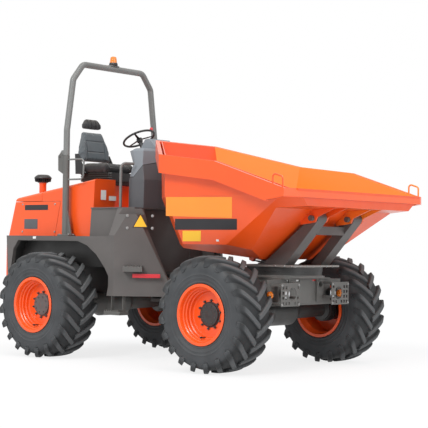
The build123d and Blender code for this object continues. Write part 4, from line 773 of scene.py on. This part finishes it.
boot = lathe(((-0.30, 0.024), (-0.30, 0.052), (-0.26, 0.05), (-0.25, 0.042), (-0.235, 0.044), (-0.225, 0.036),
              (-0.21, 0.038), (-0.2, 0.024)), (0, 0, 0), "Z", steps=40)
knob = lathe(((0.0, 0.0), (0.0, 0.01), (0.012, 0.012), (0.022, 0.019), (0.036, 0.019), (0.044, 0.012), (0.046, 0.0)),
             (0.165, 0.07, 0.008), "Z", steps=28)
wheel = piece("hand_wheel", *lifted(merged(rim_ring, *spokes, cap, shaft, boot), tilt), black_plastic, "rear_frame")
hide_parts("steering_wheel")
red_knob = piece("spinner_knob", *lifted(knob, tilt), red_paint, "rear_frame")
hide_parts("steering_wheel")
print("controls made")

# %% [markdown]
# ## Lamps, beacon and intake
# Each lamp is a bowl and a bright ribbed lens. The beacon's dome is a stack of prism rings, and the
# intake's mushroom cap has fins all round. A raised ring stands round each towing eye.

# %% Lamps and intake
LAMP_X, LAMP_Y, LAMP_Z = 1.6123, 0.398, 0.790
LAMP_BOWL = ((0.0, 0.0), (0.0, 0.034), (0.03, 0.054), (0.062, 0.058), (0.07, 0.057), (0.07, 0.05), (0.03, 0.04),
             (0.02, 0.0))
ribbed = [(0.0705 + 0.011 * (1 - (0.006 * k / 0.05) ** 2) + 0.0012 * (k % 2), 0.006 * k) for k in range(9)]
LAMP_LENS = [(0.064, 0.0), *ribbed, (0.066, 0.051), (0.06, 0.05)]
for hand, flip in SIDES:
    middle = (LAMP_X, flip * LAMP_Y, LAMP_Z)
    for name, outline, finish in (("bowl", LAMP_BOWL, black_plastic), ("lens", LAMP_LENS, reflector)):
        made = piece(f"lamp_{name}_{hand}", *lathe(outline, middle, "X", steps=56), finish, "front_frame")
        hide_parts("headlamps")

low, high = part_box("beacon")
middle = ((low.x + high.x) / 2, 0, low.z)
BEACON_BASE = ((0.0, 0.0), (0.0, 0.05), (0.006, 0.052), (0.024, 0.05), (0.032, 0.046), (0.032, 0.0))
prisms = [(0.032 + 0.0062 * k, 0.0455 - 0.0009 * k - 0.0016 * (k % 2)) for k in range(11)]
BEACON_DOME = [(0.032, 0.0), *prisms, (0.102, 0.03), (0.108, 0.018), (0.111, 0.0)]
for name, outline, finish in (("base", BEACON_BASE, black_plastic), ("dome", BEACON_DOME, amber_lens)):
    made = piece(f"beacon_{name}", *lathe(outline, middle, "Z", steps=48), finish, "rops")
    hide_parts("beacon")

low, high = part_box("air_precleaner")
middle = ((low.x + high.x) / 2, (low.y + high.y) / 2, 0)
STEM = ((low.z + 0.004, 0.0), (low.z + 0.004, 0.042), (1.965, 0.042), (1.972, 0.046), (1.985, 0.046), (1.985, 0.0))
MUSHROOM = ((1.985, 0.0), (1.985, 0.06), (2.028, 0.062), (2.03, 0.1), (2.036, 0.1035), (2.046, 0.102),
            (2.058, 0.092), (2.07, 0.078), (2.079, 0.06), (2.08, 0.0))
FINS = 24
fin = slab(((0.058, 0.001, 1.99), (0.094, 0.001, 1.998), (0.098, 0.001, 2.031), (0.058, 0.001, 2.031)), 0.003,
           (0, -1, 0))
fins = [lifted(fin, Matrix.Translation(middle) @ Matrix.Rotation(2 * pi * k / FINS, 4, "Z")) for k in range(FINS)]
stem = piece("intake_stem", *lathe(STEM, middle, "Z", steps=40), orange_paint, "hood")
cap = piece("intake_cap", *merged(lathe(MUSHROOM, middle, "Z", steps=48), *fins), black_plastic, "hood")
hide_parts("air_precleaner")
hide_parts("air_precleaner")

# drawn one metre ahead of its place
TOW_RING = ((1.0, 0.033), (1.0, 0.05), (1.004, 0.05), (1.006, 0.047), (1.006, 0.035), (1.004, 0.033))
TOW_X, TOW_Y, TOW_Z = 0.6322, 0.24, 0.88
for hand, flip in SIDES:
    tow_ring = lathe(TOW_RING, (TOW_X, flip * TOW_Y, TOW_Z), "X", steps=48)
    piece(f"tow_ring_{hand}", *tow_ring, frame_paint, "front_frame")
print("lamps, beacon and intake made")

# %% [markdown]
# ## Blank labels and coloured stripes
# Labels are thin plates that lie on the faces of the frame. They carry colour only, no words.

# %% Labels
LABEL_DEPTH = 0.0012


def label(name, corners, out, finish, body):
    """A thin blank plate."""
    piece(name, *slab(corners, LABEL_DEPTH, out), finish, body)


def oblong(a0, a1, b0, b1):
    """The four corners of an upright oblong."""
    return (a0, b1), (a1, b1), (a1, b0), (a0, b0)


# outlines of (x, z) on the skip's side wall
WALL_LABELS = (
    ("tonnage_plate", label_orange, ((0.639, 1.758), (1.515, 1.747), (1.444, 1.544), (0.565, 1.567))),
    ("dark_stripe", label_black, ((0.68, 1.538), (1.506, 1.536), (1.469, 1.429), (0.638, 1.426))),
    ("yellow_stripe", label_yellow, ((0.741, 1.416), (0.99, 1.417), (0.951, 1.311), (0.701, 1.309))),
    ("grey_tag", label_white, oblong(1.16, 1.196, 1.311, 1.331)))
# outlines of (x, z) on an upright side of the rear body, and how far out that side is
SIDE_LABELS = (
    ("panel_strip", label_black, BONNET_SIDE_Y, oblong(-2.023, -1.62, 1.653, 1.714)),
    ("panel_tag", console_plastic, BONNET_SIDE_Y, oblong(-2.028, -1.796, 1.432, 1.549)),
    ("fender_plate", label_white, FENDER_Y, oblong(-1.656, -1.604, 1.318, 1.345)))
# outlines of (along, z) on the tapered side box, and how far they are lifted off it
BOX_LABELS = (
    ("warning_edge", label_black, 0.0, ((0.198, 1.452), (0.369, 1.452), (0.2835, 1.606))),
    ("warning_sign", label_yellow, 0.0008, ((0.212, 1.46), (0.355, 1.46), (0.2835, 1.59))))


def wall(x, z, flip):
    """A place on the skip's side wall."""
    return Vector((x, flip * (WALL_FOOT_Y + WALL_SLOPE * (z - WALL_FOOT_Z)), z))


def taper(along, z, flip, lift=0.0):
    """A place on the tapered side box."""
    return Vector((BOX_FOLD_X + BOX_ALONG * along + BOX_OUT * lift,
                   flip * (FENDER_Y - BOX_OUT * along + BOX_ALONG * lift), z))


for hand, flip in SIDES[::-1]:
    for name, finish, outline in WALL_LABELS:
        corners = [wall(x, z, flip) for x, z in outline]
        label(f"{name}_{hand}", corners, (0, flip, -WALL_SLOPE), finish, "skip")
    for name, finish, y, outline in SIDE_LABELS:
        corners = [Vector((x, flip * y, z)) for x, z in outline]
        label(f"{name}_{hand}", corners, (0, flip, 0), finish, "rear_frame")
    for name, finish, lift, outline in BOX_LABELS:
        corners = [taper(along, z, flip, lift) for along, z in outline]
        label(f"{name}_{hand}", corners, (BOX_OUT, flip * BOX_ALONG, 0), finish, "rear_frame")
for name, outline in (("front_tag", oblong(-0.562, -0.48, 1.766, 1.876)),
                      ("small_tag", oblong(-0.434, -0.321, 1.761, 1.813))):
    label(name, [Vector((HOUSING_FRONT_X, y, z)) for y, z in outline], (1, 0, 0), label_white, "rear_frame")
REFLECTORS = ((-0.27, label_white), (-0.16, label_white), (-0.05, red_lens), (0.05, label_white), (0.16, red_lens),
              (0.27, label_white))
for k, (y, finish) in enumerate(REFLECTORS):
    corners = [Vector((NOSE_BEAM_X, y + across, z)) for across, z in oblong(-0.045, 0.045, 0.915, 0.93)]
    label(f"front_reflector_{k}", corners, (1, 0, 0), finish, "front_frame")
print("labels laid")

# %% [markdown]
# ## Bolt heads, with Geometry Nodes
# One tree puts a washer and a hexagon head on every vertex it is given, turned along one direction.

# %% Bolts
HEAD_DEPTH, WASHER_DEPTH, WASHER_SHARE = 0.016, 0.005, 1.45


def bolt_tree():
    """Geometry Nodes that stand a bolt head on each point."""
    tree, source, result = new_tree("bolts_on_points", Along="Vector", Head_Radius="Float")
    radius = source.outputs["Head Radius"]
    wide = node(tree, "ShaderNodeMath", {0: radius, 1: WASHER_SHARE}, operation="MULTIPLY").outputs[0]
    head = node(tree, "GeometryNodeMeshCylinder",
                {"Vertices": 6, "Radius": radius, "Depth": HEAD_DEPTH}).outputs["Mesh"]
    washer = node(tree, "GeometryNodeMeshCylinder",
                  {"Vertices": 16, "Radius": wide, "Depth": WASHER_DEPTH}).outputs["Mesh"]
    both = tree.nodes.new("GeometryNodeJoinGeometry")
    tree.links.new(head, both.inputs[0])
    tree.links.new(washer, both.inputs[0])
    aim = node(tree, "FunctionNodeAlignRotationToVector", {"Vector": source.outputs["Along"]}, axis="Z").outputs[0]
    real_copies(tree, source.outputs["Geometry"], both.outputs[0], aim, source, result)
    return tree


BOLTS = bolt_tree()


def bolts(name, points, along, body, radius=0.011, finish=bare_steel):
    """Bolt heads on points."""
    mesh = run_tree(BOLTS, name, points, [], {"Along": along, "Head Radius": radius}, finish)
    piece(name, *verts_and_faces(mesh), finish, body)


BOLT_ROW_Z, TABLE_SIDE_Y, GUARD_FRONT_X, FOOT_Z = 1.071, 0.395, 1.754, 1.37


def pairs(firsts, seconds):
    """Every first number with every second one."""
    return [(a, b) for a in firsts for b in seconds]


for hand, flip in SIDES[::-1]:
    out = (BOX_OUT, flip * BOX_ALONG, 0)
    bolts(f"box_bolts_{hand}", [taper(along, z, flip) for along, z in pairs((0.143, 0.414), (1.58, 1.446))], out,
          "rear_frame")
    bolts(f"guard_bolts_{hand}", [(GUARD_FRONT_X, flip * y, z) for y, z in pairs((0.292, 0.569), (0.688, 0.882))],
          (1, 0, 0), "front_frame", 0.009)
    bolts(f"arm_bolts_{hand}", [(TABLE_FRONT_X, flip * y, BOLT_ROW_Z) for y in (0.06, 0.17, 0.28, 0.37)],
          (1, 0, 0), "carrier", 0.008)
    bolts(f"edge_bolts_{hand}", [(x, flip * TABLE_SIDE_Y, BOLT_ROW_Z) for x in (1.4, 1.52, 1.64, 1.73)],
          (0, flip, 0), "carrier", 0.008)
    bolts(f"panel_screws_{hand}", [(x, flip * BONNET_SIDE_Y, z) for x, z in pairs((-2.06, -1.5), (1.72, 1.40))],
          (0, flip, 0), "rear_frame", 0.008)
    bolts(f"foot_bolts_{hand}", [(x, flip * y, FOOT_Z) for x, y in pairs((-1.31, -1.16), (0.69, 0.758))],
          (0, 0, 1), "rear_frame", 0.01)
print("bolt tree with", len(BOLTS.nodes), "nodes")
